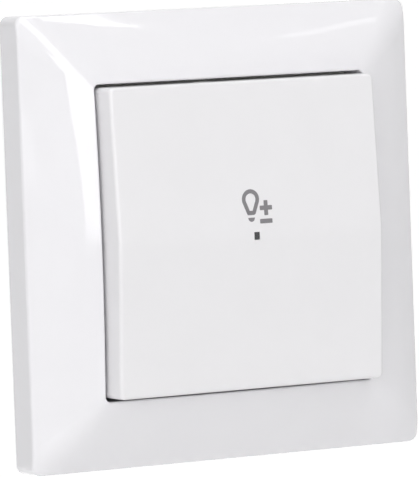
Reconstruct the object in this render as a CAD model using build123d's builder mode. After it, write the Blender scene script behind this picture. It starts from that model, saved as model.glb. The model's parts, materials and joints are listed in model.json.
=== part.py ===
# Flush dimmer insert with its cover frame and rocker key, in millimetres.
# The wall is the XZ plane. The front looks along -Y and the box insert reaches into +Y.
# The origin is the middle of the box screws' pattern, on the wall and under the mounting strap.
# "Out" is a height in front of the wall, so y = -out.
from build123d import *
import os

os.makedirs("parts", exist_ok=True)

# Cover frame: a crowned square with softened mitres
FRAME_SIZE = 81.0
FRAME_OPENING = 56.0
FRAME_RIM_OUT = 6.1
FRAME_SLOPE = 0.392
FRAME_CREST_BOW = 0.9
FRAME_CROWN = 0.75
FRAME_MITRE_RADIUS = 9.0
FRAME_CORNER_RADIUS = 1.7
FRAME_OPENING_RADIUS = 1.0
FRAME_RIM_FILLET = 0.6
FRAME_LIP_FILLET = 0.3
FRAME_WALL = 1.8
FRAME_SKIRT = 1.6
FRAME_SKIRT_OUT = 1.5
FRAME_RIB = 1.0
FRAME_RIB_AT = (-26.0, -13.0, 13.0, 26.0)

# Rocker key: a square cap whose front is a very flat roof
KEY_GAP = 0.55
KEY_CORNER_RADIUS = 1.0
KEY_EDGE_FILLET = 0.6
KEY_RIDGE_FILLET = 12.0
KEY_PROUD = 4.2
KEY_RIDGE_RISE = 1.6
KEY_SKIRT_OUT = 7.0
KEY_WALL = 1.8
KEY_ROOF = 2.0
KEY_RIB = 1.0
KEY_RIB_AT = 10.0
KEY_RIB_END = 4.0
KEY_RIB_ROOT = 0.1

# Light guide and the window that it ends in
WINDOW_X = 0.84
WINDOW_Z = -0.16
WINDOW_WIDTH = 1.16
WINDOW_HEIGHT = 1.4
GUIDE_GAP = 0.05
GUIDE_STEM = 1.9
GUIDE_COLLAR = 2.4
GUIDE_COLLAR_WALL = 1.0
GUIDE_LAMP_GAP = 1.2
GUIDE_HOLE_GAP = 0.2
GUIDE_SUNK = 0.15

# Rocker carrier and its hinge line
AXIS_OUT = 5.6
CARRIER_MARGIN = 2.65
CARRIER_OUT = 7.5
CARRIER_THICKNESS = 1.8
CARRIER_CORNER = 2.0
CARRIER_WINDOW_WIDTH = 11.0
CARRIER_WINDOW_HEIGHT = 15.0
CARRIER_WINDOW_X = 11.0
CARRIER_WINDOW_Z = 12.0
TRUNNION_RADIUS = 1.0
TRUNNION_GAP = 0.05
LUG_RADIUS = 1.7
LUG_THICKNESS = 1.5
LUG_GAP = 0.3
BEARING_THICKNESS = 2.0
BEARING_INSET = 0.3
HOOK_WIDTH = 5.0
HOOK_THICKNESS = 1.1
HOOK_AT = 12.0
HOOK_BARB = 0.8

# Plungers under the carrier, one for brighter and one for darker
PLUNGER_AT = 13.5
PLUNGER_RADIUS = 2.0
PLUNGER_GAP = 0.05
PLUNGER_HEAD_RADIUS = 3.1
PLUNGER_HEAD_DROP = 1.0
PLUNGER_HEAD_THICKNESS = 0.6
PLUNGER_TIP_DEPTH = 2.4
PLUNGER_BARB_RADIUS = 2.45
PLUNGER_BARB_LENGTH = 0.8
NIB_RADIUS = 1.6
NIB_GAP = 0.1
SPRING_RADIUS = 2.5
SPRING_WIRE = 0.4
SPRING_TURNS = 2
SPRING_GAP = 0.08

# Mounting strap, 71 mm square for 71 mm spacing side by side
STRAP_SIZE = 71.0
STRAP_THICKNESS = 1.2
STRAP_CORNER = 3.0
STRAP_OPENING_CORNER = 2.0
BOX_SCREW_SPACING = 60.0
BOX_SLOT_LENGTH = 7.0
BOX_SLOT_WIDTH = 3.5
BOX_HEAD_HEIGHT = 2.4
BOX_HEAD_SPAN = 10.0
BOX_HEAD_GAP = 0.2
STRAP_NOTCH_AT = 18.0
STRAP_NOTCH_WIDTH = 3.0
STRAP_NOTCH_DEPTH = 1.2

# Retainer ring, which the cover frame snaps on
RING_GAP = 0.3
RING_WALL = 1.5
RING_OUT = 5.2
PEG_RADIUS = 1.2
PEG_HEAD_RADIUS = 1.75
PEG_BOSS_SIZE = 4.8
PEG_GAP = 0.05
NOSE_AT = 17.0
NOSE_WIDTH = 6.8
NOSE_LENGTH = 0.8
NOSE_OUT = 3.1
NOSE_HEIGHT = 1.3
NOSE_CLEARANCE = 0.2

# Housing in two shells, inside a 60 mm wall box
BODY_RADIUS = 28.0
BODY_WIDTH = 40.6
BODY_DEPTH = 28.0
BODY_WALL = 1.6
BODY_STEP_DEPTH = 9.3
BODY_STEP = 1.4
BODY_FLAT_Z = -21.0
FLANGE_THICKNESS = 2.0
BOSS_OUT = 3.5
BOSS_GAP = 0.3
BOSS_WALL = 1.6
BOSS_RIB = 1.0
SLEEVE_WALL = 1.2
SLEEVE_DEPTH = 1.0
SCREW_X = 12.5
SCREW_INSET = 2.26
SCREW_MARGIN = 2.0
SCREW_RADIUS = 1.25
SCREW_GAP = 0.05
SCREW_HEAD_RADIUS = 2.2
SCREW_HEAD_HEIGHT = 1.4
SCREW_HEAD_TAPER = 16.0
SCREW_LENGTH = 9.2
POST_RADIUS = 2.4
RECESS_SPAN = 2.6
RECESS_SLOT = 0.6
RECESS_DEPTH = 0.9

# Claws that grip the wall box
CLAW_PIVOT_GAP = 1.9
CLAW_PIVOT_DEPTH = 6.0
CLAW_PIN_RADIUS = 0.8
CLAW_PIN_GAP = 0.05
CLAW_THICKNESS = 1.2
CLAW_WIDTH = 7.0
CLAW_LEG = 5.9
CLAW_ARM_DEPTH = 23.4
CLAW_TOOTH = 1.9
CLAW_SLOT_WIDTH = 3.4
CLAW_SLOT_START = 0.2
CLAW_SLOT_END = 4.75
CLAW_SLOT_DEPTH = 11.0
CLAW_SCREW_REACH = 2.1
CLAW_SCREW_RADIUS = 1.5
CLAW_SCREW_GAP = 0.08
CLAW_SCREW_LENGTH = 10.7
CLAW_NOTCH = 1.1
CLAW_EAR_GAP = 0.25
CLAW_EAR_RADIUS = 1.6
LANCE_LENGTH = 7.0
LANCE_GAP = 0.25
LANCE_LAP = 1.0

# Lift terminals: bar, cage and screw, three in a row
TERMINAL_DEPTH = 20.6
BAR_WIDTH = 4.4
BAR_THICKNESS = 1.0
BAR_RISE = 9.5
BAR_END_GAP = 1.0
CAGE_WIDTH = 7.4
CAGE_LENGTH = 8.0
CAGE_SIDE = 0.9
CAGE_FLOOR = 1.2
CAGE_TRAVEL = 3.0
CAGE_HEADROOM = 0.5
WIRE_GAP = 3.6
TERMINAL_SCREW_RADIUS = 1.5
TERMINAL_SCREW_GAP = 0.05
TERMINAL_HEAD_RADIUS = 2.5
TERMINAL_HEAD_HEIGHT = 1.8
TERMINAL_HEAD_DROP = 1.0
TERMINAL_TIP_GAP = 0.1
DRIVER_HOLE_RADIUS = 2.8
WIRE_ENTRY = 3.8
PARTITION_GAP = 0.3

# Boards and what they carry
CONTROL_BOARD_DEPTH = 6.5
CONTROL_BOARD_THICKNESS = 1.2
POWER_BOARD_DEPTH = 12.8
POWER_BOARD_THICKNESS = 1.6
BOARD_GAP = 0.3
LEDGE_RIB = 2.0
LEDGE_RIB_AT = (0.0, 12.5)
SWITCH_SIZE = 6.0
SWITCH_BUTTON_RADIUS = 1.7
SWITCH_BUTTON_HEIGHT = 0.35
SWITCH_REACH = 0.65
LED_RADIUS = 1.5
LED_FLANGE = 1.9
LED_FLANGE_HEIGHT = 1.0
LED_HEIGHT = 3.8
LED_SUNK = 0.1
LED_GAP = 0.3
LEAD = 0.5
LEAD_PITCH = 2.54
CHIP_X = -10.0
CHIP_SIZE = 7.0
CHIP_HEIGHT = 1.0
CHIP_LEG_COUNT = 5
CHIP_LEG_PITCH = 1.27
CHIP_LEG_SPAN = 9.0
CHIP_LEG_WIDTH = 0.35
CHIP_LEG_HEIGHT = 0.3
CONNECTOR_Z = 14.0
CONNECTOR_PINS = 5
SINK_WIDTH = 25.0
SINK_TOP_Z = 21.0
SINK_THICKNESS = 1.4
SINK_END_GAP = 0.6
SINK_FIN_COUNT = 7
SINK_FIN_PITCH = 3.0
SINK_FIN_WIDTH = 1.0
SINK_FIN_HEIGHT = 1.6
TRANSISTOR_AT = 6.2
TRANSISTOR_WIDTH = 10.0
TRANSISTOR_LENGTH = 9.0
TRANSISTOR_THICKNESS = 4.4
TRANSISTOR_STAND = 2.0
TRANSISTOR_LEG_WIDTH = 0.8
TRANSISTOR_LEG_DROP = 2.6
CHOKE_SIDE_GAP = 1.3
CHOKE_Z = 6.0
CHOKE_OUTER = 7.0
CHOKE_INNER = 3.6
CHOKE_HEIGHT = 6.0
CHOKE_STAND = 0.8
CHOKE_TURNS = 14
CHOKE_WIRE = 0.7
CHOKE_WIRE_GAP = 0.1
FILM_SIDE_GAP = 2.05
FILM_Z = 10.0
FILM_WIDTH = 12.5
FILM_HEIGHT = 6.5
FILM_LENGTH = 10.0
FILM_CORNER = 0.6
CAN_SIDE_GAP = 2.8
CAN_Z = 1.5
CAN_RADIUS = 4.0
CAN_LENGTH = 10.5
CAN_ROLL = 0.6
FUSE_GAP = 0.7
FUSE_Z = -2.8
FUSE_RADIUS = 2.6
FUSE_LENGTH = 7.0
VARISTOR_SIDE_GAP = 4.1
VARISTOR_Z = -4.6
VARISTOR_RADIUS = 4.2
VARISTOR_THICKNESS = 3.0
VARISTOR_EDGE = 0.7
VARISTOR_STAND = 0.4
VARISTOR_LEAD_LENGTH = 2.0

# Sizes that follow from the ones above
frame_half = FRAME_SIZE / 2
opening_half = FRAME_OPENING / 2
frame_side = frame_half - opening_half
frame_crest_out = FRAME_RIM_OUT + FRAME_SLOPE * frame_side
key_half = opening_half - KEY_GAP
key_inner = key_half - KEY_WALL
key_edge_out = frame_crest_out + KEY_PROUD
key_ridge_out = key_edge_out + KEY_RIDGE_RISE
key_roof_back = key_ridge_out - KEY_ROOF
collar_out = key_roof_back - GUIDE_COLLAR
carrier_half = key_inner - CARRIER_MARGIN
ring_half = opening_half - RING_GAP
ring_inner = ring_half - RING_WALL
carrier_top = CARRIER_OUT + CARRIER_THICKNESS
peg_at = ring_inner
peg_boss_at = ring_half - PEG_BOSS_SIZE / 2
plunger_head_out = CARRIER_OUT - PLUNGER_HEAD_DROP
screw_z = ((BODY_RADIUS - SCREW_INSET) ** 2 - SCREW_X**2) ** 0.5
strap_opening_width = BODY_WIDTH
strap_opening_height = 2 * (screw_z - SCREW_MARGIN)
boss_width = strap_opening_width - 2 * BOSS_GAP
boss_height = strap_opening_height - 2 * BOSS_GAP
bearing_outer_x = boss_width / 2 - BEARING_INSET
bearing_inner_x = bearing_outer_x - BEARING_THICKNESS
lug_outer_x = bearing_inner_x - LUG_GAP
lug_inner_x = lug_outer_x - LUG_THICKNESS
claw_pivot_x = BODY_WIDTH / 2 + CLAW_PIVOT_GAP
claw_screw_x = claw_pivot_x + CLAW_SCREW_REACH
led_top_out = BOSS_OUT - LED_SUNK
led_base_out = led_top_out - LED_HEIGHT
guide_tip_out = led_top_out + GUIDE_LAMP_GAP
boss_roof_back = BOSS_OUT - BOSS_WALL
inner_radius = BODY_RADIUS - BODY_WALL
inner_width = BODY_WIDTH - 2 * BODY_WALL
rear_radius = BODY_RADIUS - BODY_STEP
rear_width = BODY_WIDTH - 2 * BODY_STEP
rear_inner_radius = rear_radius - BODY_WALL
rear_inner_width = rear_width - 2 * BODY_WALL
terminal_pitch = (rear_inner_width - BODY_WALL) / 3
ledge_depth = BODY_STEP_DEPTH - BODY_WALL
floor_depth = BODY_DEPTH - BODY_WALL
power_board_back = POWER_BOARD_DEPTH + POWER_BOARD_THICKNESS
bar_top_z = BODY_FLAT_Z + BAR_RISE
bar_bottom_z = bar_top_z - BAR_THICKNESS
cage_top_z = bar_top_z + WIRE_GAP + CAGE_SIDE
cage_bottom_z = bar_bottom_z - CAGE_HEADROOM - CAGE_FLOOR
terminal_x = (-terminal_pitch, 0.0, terminal_pitch)
choke_x = CHOKE_OUTER + CHOKE_WIRE_GAP + CHOKE_WIRE + CHOKE_SIDE_GAP - rear_inner_width / 2
film_x = rear_inner_width / 2 - FILM_SIDE_GAP - FILM_WIDTH / 2
can_x = rear_inner_width / 2 - CAN_SIDE_GAP - CAN_RADIUS
fuse_x = can_x - CAN_RADIUS - FUSE_GAP - FUSE_RADIUS
varistor_x = VARISTOR_SIDE_GAP + VARISTOR_RADIUS - rear_inner_width / 2
screw_places = [(x, z) for x in (-SCREW_X, SCREW_X) for z in (-screw_z, screw_z)]
peg_places = [(x, z) for x in (-peg_at, peg_at) for z in (-peg_at, peg_at)]
peg_boss_places = [(x, z) for x in (-peg_boss_at, peg_boss_at) for z in (-peg_boss_at, peg_boss_at)]
peg_seats = [Location((x, -STRAP_THICKNESS / 2, z), (90, 0, 0)) for x, z in peg_places]

# Longer than any piece, for cuts that run right through
OVERSIZE = 40.0


def facing(out):
    """Plane parallel to the wall, out mm in front of it, that looks at the viewer."""
    return Plane.XZ.offset(out)


def crown_face(outer, inner, rim, crest, side):
    """Curved top of one side of the frame, from its outer to its inner edge.

    Its outline in plan is the side's mitred trapezoid. Across the side it rises in one
    parabola, steep at the rim, and along the side its inner edge is bowed outwards.
    """
    middle = (outer + inner) / 2
    crest_peak = crest + 2 * FRAME_CREST_BOW
    shoulder = rim + FRAME_CROWN * (crest - rim)
    shoulder_peak = rim + FRAME_CROWN * (crest_peak - rim)
    rows = [
        [(-outer, -rim, outer), (0, -rim, outer), (outer, -rim, outer)],
        [(-middle, -shoulder, middle), (0, -shoulder_peak, middle), (middle, -shoulder, middle)],
        [(-inner, -crest, inner), (0, -crest_peak, inner), (inner, -crest, inner)],
    ]
    return Face.make_bezier_surface(rows).rotate(Axis.Y, 90 * side)


def insert_outline(plane, radius, width):
    """Outline of the round insert with its two flat sides."""
    with BuildSketch(plane, mode=Mode.PRIVATE) as outline:
        Circle(radius)
        Rectangle(width, 2 * radius, mode=Mode.INTERSECT)
    return outline.sketch


def on_each_side(piece):
    """The piece in its place on the upper side, and turned to the three other sides."""
    return [piece.rotate(Axis.Y, 90 * side) for side in range(4)]


def finish(piece, name):
    """Label a finished piece and write its file."""
    piece.part.label = name
    export_step(piece.part, f"parts/{name}.step")


# Cover frame
crown_lap = 1.0
crown_slope = 2 * (1 - FRAME_CROWN) * FRAME_SLOPE
cavity_outer = frame_half - FRAME_WALL
cavity_inner = opening_half + FRAME_SKIRT
cavity_rim = FRAME_RIM_OUT - FRAME_WALL / 2
cavity_shoulder = (cavity_rim + frame_crest_out - FRAME_WALL) / 2 + FRAME_WALL / 4

with BuildPart() as frame_cavity:
    cavity_profile = (
        (cavity_outer, 0.0),
        (cavity_outer, cavity_rim),
        ((cavity_outer + cavity_inner) / 2, cavity_shoulder),
        (cavity_inner, frame_crest_out - FRAME_WALL),
    )
    with BuildSketch(Plane.YZ):
        with BuildLine():
            Polyline(
                *[(-out, at) for at, out in cavity_profile],
                *[(-out, -at) for at, out in reversed(cavity_profile)],
                close=True,
            )
        make_face()
    extrude(amount=cavity_outer, both=True)
    with BuildSketch(Plane.XY):
        with BuildLine():
            Polyline(
                *[(at, -out) for at, out in cavity_profile],
                *[(-at, -out) for at, out in reversed(cavity_profile)],
                close=True,
            )
        make_face()
    extrude(amount=cavity_outer, both=True, mode=Mode.INTERSECT)
    with BuildSketch(facing(0)):
        Rectangle(2 * cavity_inner, 2 * cavity_inner)
    extrude(amount=OVERSIZE, mode=Mode.SUBTRACT)
    with BuildSketch(facing(FRAME_RIM_OUT - FRAME_WALL)):
        for sign in (-1, 1):
            with Locations(*[(at, sign * (frame_half + opening_half) / 2) for at in FRAME_RIB_AT]):
                Rectangle(FRAME_RIB, frame_side)
            with Locations(*[(sign * (frame_half + opening_half) / 2, at) for at in FRAME_RIB_AT]):
                Rectangle(frame_side, FRAME_RIB)
    extrude(amount=OVERSIZE, mode=Mode.SUBTRACT)

with BuildPart() as cover_frame:
    for side in range(4):
        crown = crown_face(
            frame_half,
            opening_half - crown_lap,
            FRAME_RIM_OUT,
            frame_crest_out + crown_lap * crown_slope,
            side,
        )
        extrude(crown, amount=OVERSIZE, dir=(0, 1, 0))
    split(bisect_by=Plane.XZ, keep=Keep.TOP)
    mitres = [
        edge
        for edge in cover_frame.edges()
        if abs(abs(edge.center().X) - abs(edge.center().Z)) < 0.01
        and opening_half < abs(edge.center().X) < frame_half - 1
        and edge.center().Y < -FRAME_RIM_OUT
    ]
    fillet(mitres, FRAME_MITRE_RADIUS)
    corners = [
        edge
        for edge in cover_frame.edges().filter_by(Axis.Y)
        if abs(abs(edge.center().X) - frame_half) < 0.01
        and abs(abs(edge.center().Z) - frame_half) < 0.01
    ]
    fillet(corners, FRAME_CORNER_RADIUS)
    with BuildSketch(facing(0)):
        RectangleRounded(FRAME_OPENING, FRAME_OPENING, FRAME_OPENING_RADIUS)
    extrude(amount=OVERSIZE, mode=Mode.SUBTRACT)
    rim_edges = [
        edge
        for edge in cover_frame.edges()
        if all(
            max(abs((edge @ at).X), abs((edge @ at).Z)) > frame_half - FRAME_CORNER_RADIUS / 3
            and (edge @ at).Y < -FRAME_RIM_OUT / 2
            for at in (0.0, 0.5, 1.0)
        )
    ]
    fillet(rim_edges, FRAME_RIM_FILLET)
    lip_edges = [
        edge
        for edge in cover_frame.edges()
        if all(
            abs(max(abs((edge @ at).X), abs((edge @ at).Z)) - opening_half) < FRAME_OPENING_RADIUS / 2
            and (edge @ at).Y < -frame_crest_out / 2
            for at in (0.0, 0.5, 1.0)
        )
    ]
    fillet(lip_edges, FRAME_LIP_FILLET)
    add(frame_cavity.part, mode=Mode.SUBTRACT)
    with BuildSketch(facing(0)):
        Rectangle(2 * cavity_inner, 2 * cavity_inner)
    extrude(amount=FRAME_SKIRT_OUT, mode=Mode.SUBTRACT)
    with BuildSketch(facing(0)):
        Rectangle(2 * cavity_inner, BOX_HEAD_SPAN + 2)
        Rectangle(BOX_HEAD_SPAN + 2, 2 * cavity_inner)
    extrude(amount=STRAP_THICKNESS + BOX_HEAD_HEIGHT + BOX_HEAD_GAP, mode=Mode.SUBTRACT)
    with BuildSketch(facing(0)):
        with Locations(*screw_places):
            Circle(SCREW_HEAD_RADIUS + BOSS_GAP)
    extrude(amount=STRAP_THICKNESS + SCREW_HEAD_HEIGHT + BOSS_GAP, mode=Mode.SUBTRACT)
    notch_width = NOSE_WIDTH + 2 * NOSE_CLEARANCE
    with BuildSketch(facing(NOSE_OUT - NOSE_CLEARANCE)):
        for sign in (-1, 1):
            for at in (-NOSE_AT, NOSE_AT):
                with Locations((at, sign * (opening_half + FRAME_SKIRT / 2))):
                    Rectangle(notch_width, FRAME_SKIRT)
                with Locations((sign * (opening_half + FRAME_SKIRT / 2), at)):
                    Rectangle(FRAME_SKIRT, notch_width)
    extrude(amount=NOSE_HEIGHT + 2 * NOSE_CLEARANCE, mode=Mode.SUBTRACT)
finish(cover_frame, "cover_frame")


# Mounting strap: sheet steel with slots, a middle opening and ears lanced out for the claws
ear_inner_z = CLAW_WIDTH / 2 + CLAW_EAR_GAP
ear_outer_z = ear_inner_z + STRAP_THICKNESS

with BuildPart() as mounting_strap:
    with BuildSketch(facing(0)):
        RectangleRounded(STRAP_SIZE, STRAP_SIZE, STRAP_CORNER)
        RectangleRounded(
            strap_opening_width, strap_opening_height, STRAP_OPENING_CORNER, mode=Mode.SUBTRACT
        )
        with Locations((-BOX_SCREW_SPACING / 2, 0), (BOX_SCREW_SPACING / 2, 0)):
            SlotOverall(BOX_SLOT_LENGTH, BOX_SLOT_WIDTH, mode=Mode.SUBTRACT)
        with Locations((0, -BOX_SCREW_SPACING / 2), (0, BOX_SCREW_SPACING / 2)):
            SlotOverall(BOX_SLOT_LENGTH, BOX_SLOT_WIDTH, rotation=90, mode=Mode.SUBTRACT)
        with Locations(*screw_places):
            Circle(SCREW_RADIUS + 2 * SCREW_GAP, mode=Mode.SUBTRACT)
        with Locations((-claw_screw_x, 0), (claw_screw_x, 0)):
            Circle(CLAW_SCREW_RADIUS + CLAW_SCREW_GAP, mode=Mode.SUBTRACT)
        lance_inner = strap_opening_width / 2 - LANCE_LAP
        lance_outer = claw_pivot_x + CLAW_EAR_RADIUS
        for sign in (-1, 1):
            for up in (-1, 1):
                lance_z = up * (ear_outer_z + LANCE_GAP + LANCE_LENGTH / 2)
                with Locations((sign * (lance_inner + lance_outer) / 2, lance_z)):
                    Rectangle(lance_outer - lance_inner, LANCE_LENGTH, mode=Mode.SUBTRACT)
        for sign in (-1, 1):
            for at in (-STRAP_NOTCH_AT, STRAP_NOTCH_AT):
                with Locations((at, sign * STRAP_SIZE / 2)):
                    Rectangle(STRAP_NOTCH_WIDTH, 2 * STRAP_NOTCH_DEPTH, mode=Mode.SUBTRACT)
                with Locations((sign * STRAP_SIZE / 2, at)):
                    Rectangle(2 * STRAP_NOTCH_DEPTH, STRAP_NOTCH_WIDTH, mode=Mode.SUBTRACT)
    extrude(amount=STRAP_THICKNESS)
    with Locations(*peg_seats):
        Cone(PEG_HEAD_RADIUS + PEG_GAP, PEG_RADIUS + PEG_GAP, STRAP_THICKNESS, mode=Mode.SUBTRACT)
    for sign in (-1, 1):
        for up in (-1, 1):
            with BuildSketch(Plane.XY.offset(up * (ear_inner_z + ear_outer_z) / 2)):
                with Locations((sign * claw_pivot_x, CLAW_PIVOT_DEPTH)):
                    RegularPolygon(CLAW_EAR_RADIUS, 8, major_radius=False, rotation=22.5)
                with Locations((sign * claw_pivot_x, CLAW_PIVOT_DEPTH / 2)):
                    Rectangle(2 * CLAW_EAR_RADIUS, CLAW_PIVOT_DEPTH)
                with Locations((sign * claw_pivot_x, CLAW_PIVOT_DEPTH)):
                    Circle(CLAW_PIN_RADIUS + CLAW_PIN_GAP, mode=Mode.SUBTRACT)
            extrude(amount=STRAP_THICKNESS / 2, both=True)
finish(mounting_strap, "mounting_strap")


# Retainer ring: bridges the box screws' heads, staked to the strap, with snap noses outside
with BuildPart() as upper_noses:
    for at in (-NOSE_AT, NOSE_AT):
        with BuildSketch(Plane.YZ.offset(at)):
            with BuildLine():
                Polyline(
                    (-NOSE_OUT, ring_half - RING_WALL / 2),
                    (-NOSE_OUT, ring_half + NOSE_LENGTH),
                    (-NOSE_OUT - NOSE_HEIGHT / 3, ring_half + NOSE_LENGTH),
                    (-NOSE_OUT - NOSE_HEIGHT, ring_half),
                    (-NOSE_OUT - NOSE_HEIGHT, ring_half - RING_WALL / 2),
                    close=True,
                )
            make_face()
        extrude(amount=NOSE_WIDTH / 2, both=True)

with BuildPart() as retainer_ring:
    with BuildSketch(facing(STRAP_THICKNESS)):
        Rectangle(2 * ring_half, 2 * ring_half)
        Rectangle(2 * ring_inner, 2 * ring_inner, mode=Mode.SUBTRACT)
    extrude(amount=RING_OUT - STRAP_THICKNESS)
    with BuildSketch(facing(STRAP_THICKNESS)):
        with Locations(*peg_boss_places):
            Rectangle(PEG_BOSS_SIZE, PEG_BOSS_SIZE)
        Rectangle(strap_opening_width, strap_opening_height, mode=Mode.SUBTRACT)
    extrude(amount=RING_OUT - STRAP_THICKNESS)
    with BuildSketch(facing(STRAP_THICKNESS)):
        Rectangle(2 * ring_half, BOX_HEAD_SPAN)
        Rectangle(BOX_HEAD_SPAN, 2 * ring_half)
    extrude(amount=BOX_HEAD_HEIGHT, mode=Mode.SUBTRACT)
    with BuildSketch(facing(STRAP_THICKNESS)):
        with Locations((-claw_screw_x, 0), (claw_screw_x, 0)):
            Circle(SCREW_HEAD_RADIUS + BOSS_GAP)
    extrude(amount=RING_OUT - STRAP_THICKNESS, mode=Mode.SUBTRACT)
    with BuildSketch(facing(STRAP_THICKNESS)):
        with Locations(*screw_places):
            Circle(SCREW_HEAD_RADIUS + BOSS_GAP)
    extrude(amount=SCREW_HEAD_HEIGHT + BOSS_GAP, mode=Mode.SUBTRACT)
    with Locations(*peg_seats):
        Cone(PEG_HEAD_RADIUS, PEG_RADIUS, STRAP_THICKNESS)
    add(on_each_side(upper_noses.part))
finish(retainer_ring, "retainer_ring")


# Front housing: flange behind the strap, boss through it, bearing ears and plunger sleeves
with BuildPart() as front_housing:
    extrude(insert_outline(facing(-FLANGE_THICKNESS), BODY_RADIUS, BODY_WIDTH), amount=FLANGE_THICKNESS)
    with BuildSketch(facing(-FLANGE_THICKNESS)):
        RectangleRounded(boss_width, boss_height, STRAP_OPENING_CORNER - BOSS_GAP)
    extrude(amount=FLANGE_THICKNESS + BOSS_OUT)
    with BuildSketch(facing(-FLANGE_THICKNESS)):
        Rectangle(boss_width - 2 * BOSS_WALL, boss_height - 2 * BOSS_WALL)
    extrude(amount=FLANGE_THICKNESS + boss_roof_back, mode=Mode.SUBTRACT)
    with BuildSketch(facing(-SLEEVE_DEPTH)):
        with Locations((0, -PLUNGER_AT), (0, PLUNGER_AT)):
            Circle(PLUNGER_RADIUS + PLUNGER_GAP + SLEEVE_WALL)
    extrude(amount=SLEEVE_DEPTH + boss_roof_back)
    with BuildSketch(facing(0)):
        with Locations((0, -PLUNGER_AT / 2), (0, PLUNGER_AT / 2)):
            Rectangle(boss_width - BOSS_WALL, BOSS_RIB)
        with Locations((-SCREW_X, 0), (SCREW_X, 0)):
            Rectangle(BOSS_RIB, boss_height - BOSS_WALL)
    extrude(amount=boss_roof_back)
    for sign in (-1, 1):
        with BuildSketch(Plane.YZ.offset(sign * (bearing_inner_x + bearing_outer_x) / 2)):
            with Locations((-AXIS_OUT, 0)):
                Circle(LUG_RADIUS)
            with Locations((-(AXIS_OUT + boss_roof_back) / 2, 0)):
                Rectangle(AXIS_OUT - boss_roof_back, 2 * LUG_RADIUS)
            with Locations((-AXIS_OUT, 0)):
                Circle(TRUNNION_RADIUS + TRUNNION_GAP, mode=Mode.SUBTRACT)
        extrude(amount=(bearing_outer_x - bearing_inner_x) / 2, both=True)
    with BuildSketch(facing(-SLEEVE_DEPTH)):
        with Locations((0, -PLUNGER_AT), (0, PLUNGER_AT)):
            Circle(PLUNGER_RADIUS + PLUNGER_GAP)
        with Locations((WINDOW_X, WINDOW_Z)):
            Circle(LED_RADIUS + LED_GAP)
    extrude(amount=SLEEVE_DEPTH + BOSS_OUT, mode=Mode.SUBTRACT)
    with BuildSketch(facing(-FLANGE_THICKNESS)):
        with Locations(*screw_places):
            Circle(SCREW_RADIUS + 2 * SCREW_GAP)
    extrude(amount=FLANGE_THICKNESS, mode=Mode.SUBTRACT)
finish(front_housing, "front_housing")


# Rear housing: stepped cup with screw posts, partitions for the terminals and wire entries
rear_cut = 2 * rear_radius
floor_flat_z = BODY_FLAT_Z + BODY_WALL
partition_inner = CAGE_WIDTH / 2 + PARTITION_GAP
partition_outer = terminal_pitch - partition_inner
partition_top_z = cage_top_z + PARTITION_GAP
partition_height = partition_top_z - floor_flat_z
side_partition = terminal_pitch + partition_inner
wire_z = bar_top_z + WIRE_GAP / 2

with BuildPart() as rear_housing:
    extrude(
        insert_outline(facing(-BODY_STEP_DEPTH), BODY_RADIUS, BODY_WIDTH),
        amount=BODY_STEP_DEPTH - FLANGE_THICKNESS,
    )
    with BuildSketch(facing(-BODY_DEPTH)):
        Circle(rear_radius)
        Rectangle(rear_width, rear_cut, mode=Mode.INTERSECT)
        with Locations((0, BODY_FLAT_Z - rear_cut / 2)):
            Rectangle(rear_cut, rear_cut, mode=Mode.SUBTRACT)
    extrude(amount=BODY_DEPTH - FLANGE_THICKNESS)
    rear_rim = rear_housing.faces().sort_by(Axis.Y)[-1].edges()
    chamfer(rear_rim, BODY_WALL / 2)
    extrude(
        insert_outline(facing(-ledge_depth), inner_radius, inner_width),
        amount=ledge_depth,
        mode=Mode.SUBTRACT,
    )
    with BuildSketch(facing(-floor_depth)):
        Circle(rear_inner_radius)
        Rectangle(rear_inner_width, rear_cut, mode=Mode.INTERSECT)
        with Locations((0, floor_flat_z - rear_cut / 2)):
            Rectangle(rear_cut, rear_cut, mode=Mode.SUBTRACT)
    extrude(amount=floor_depth, mode=Mode.SUBTRACT)
    with BuildSketch(facing(-ledge_depth - BODY_WALL / 2)):
        with Locations(*screw_places):
            Circle(POST_RADIUS)
        Circle(BODY_RADIUS, mode=Mode.INTERSECT)
    extrude(amount=ledge_depth + BODY_WALL / 2 - FLANGE_THICKNESS)
    with BuildSketch(facing(-ledge_depth - BODY_WALL / 2)):
        with Locations(*screw_places):
            Circle(SCREW_RADIUS + SCREW_GAP)
    extrude(amount=ledge_depth + BODY_WALL / 2 - FLANGE_THICKNESS, mode=Mode.SUBTRACT)
    with BuildSketch(facing(-floor_depth)):
        partition_z = floor_flat_z + partition_height / 2
        for sign in (-1, 1):
            with Locations((sign * (partition_inner + partition_outer) / 2, partition_z)):
                Rectangle(partition_outer - partition_inner, partition_height)
            with Locations((sign * (side_partition + rear_inner_width / 2) / 2, partition_z)):
                Rectangle(rear_inner_width / 2 - side_partition, partition_height)
            with Locations(*[(sign * (rear_inner_width - BODY_WALL) / 2, z) for z in LEDGE_RIB_AT]):
                Rectangle(BODY_WALL, LEDGE_RIB)
    extrude(amount=floor_depth - power_board_back)
    with BuildSketch(facing(-BODY_DEPTH)):
        with Locations(*[(x, wire_z) for x in terminal_x]):
            Rectangle(WIRE_ENTRY, WIRE_ENTRY)
    extrude(amount=BODY_WALL, mode=Mode.SUBTRACT)
    with BuildSketch(Plane.XY.offset(BODY_FLAT_Z)):
        with Locations(*[(x, TERMINAL_DEPTH) for x in terminal_x]):
            Circle(DRIVER_HOLE_RADIUS)
    extrude(amount=BODY_WALL, mode=Mode.SUBTRACT)
finish(rear_housing, "rear_housing")


def cross_recess(plane, places):
    """Two crossed slots for a driver, as sunk sketches at the places on the plane."""
    with BuildSketch(plane, mode=Mode.PRIVATE) as recess:
        with Locations(*places):
            Rectangle(RECESS_SPAN, RECESS_SLOT)
            Rectangle(RECESS_SLOT, RECESS_SPAN)
    return recess.sketch


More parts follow.
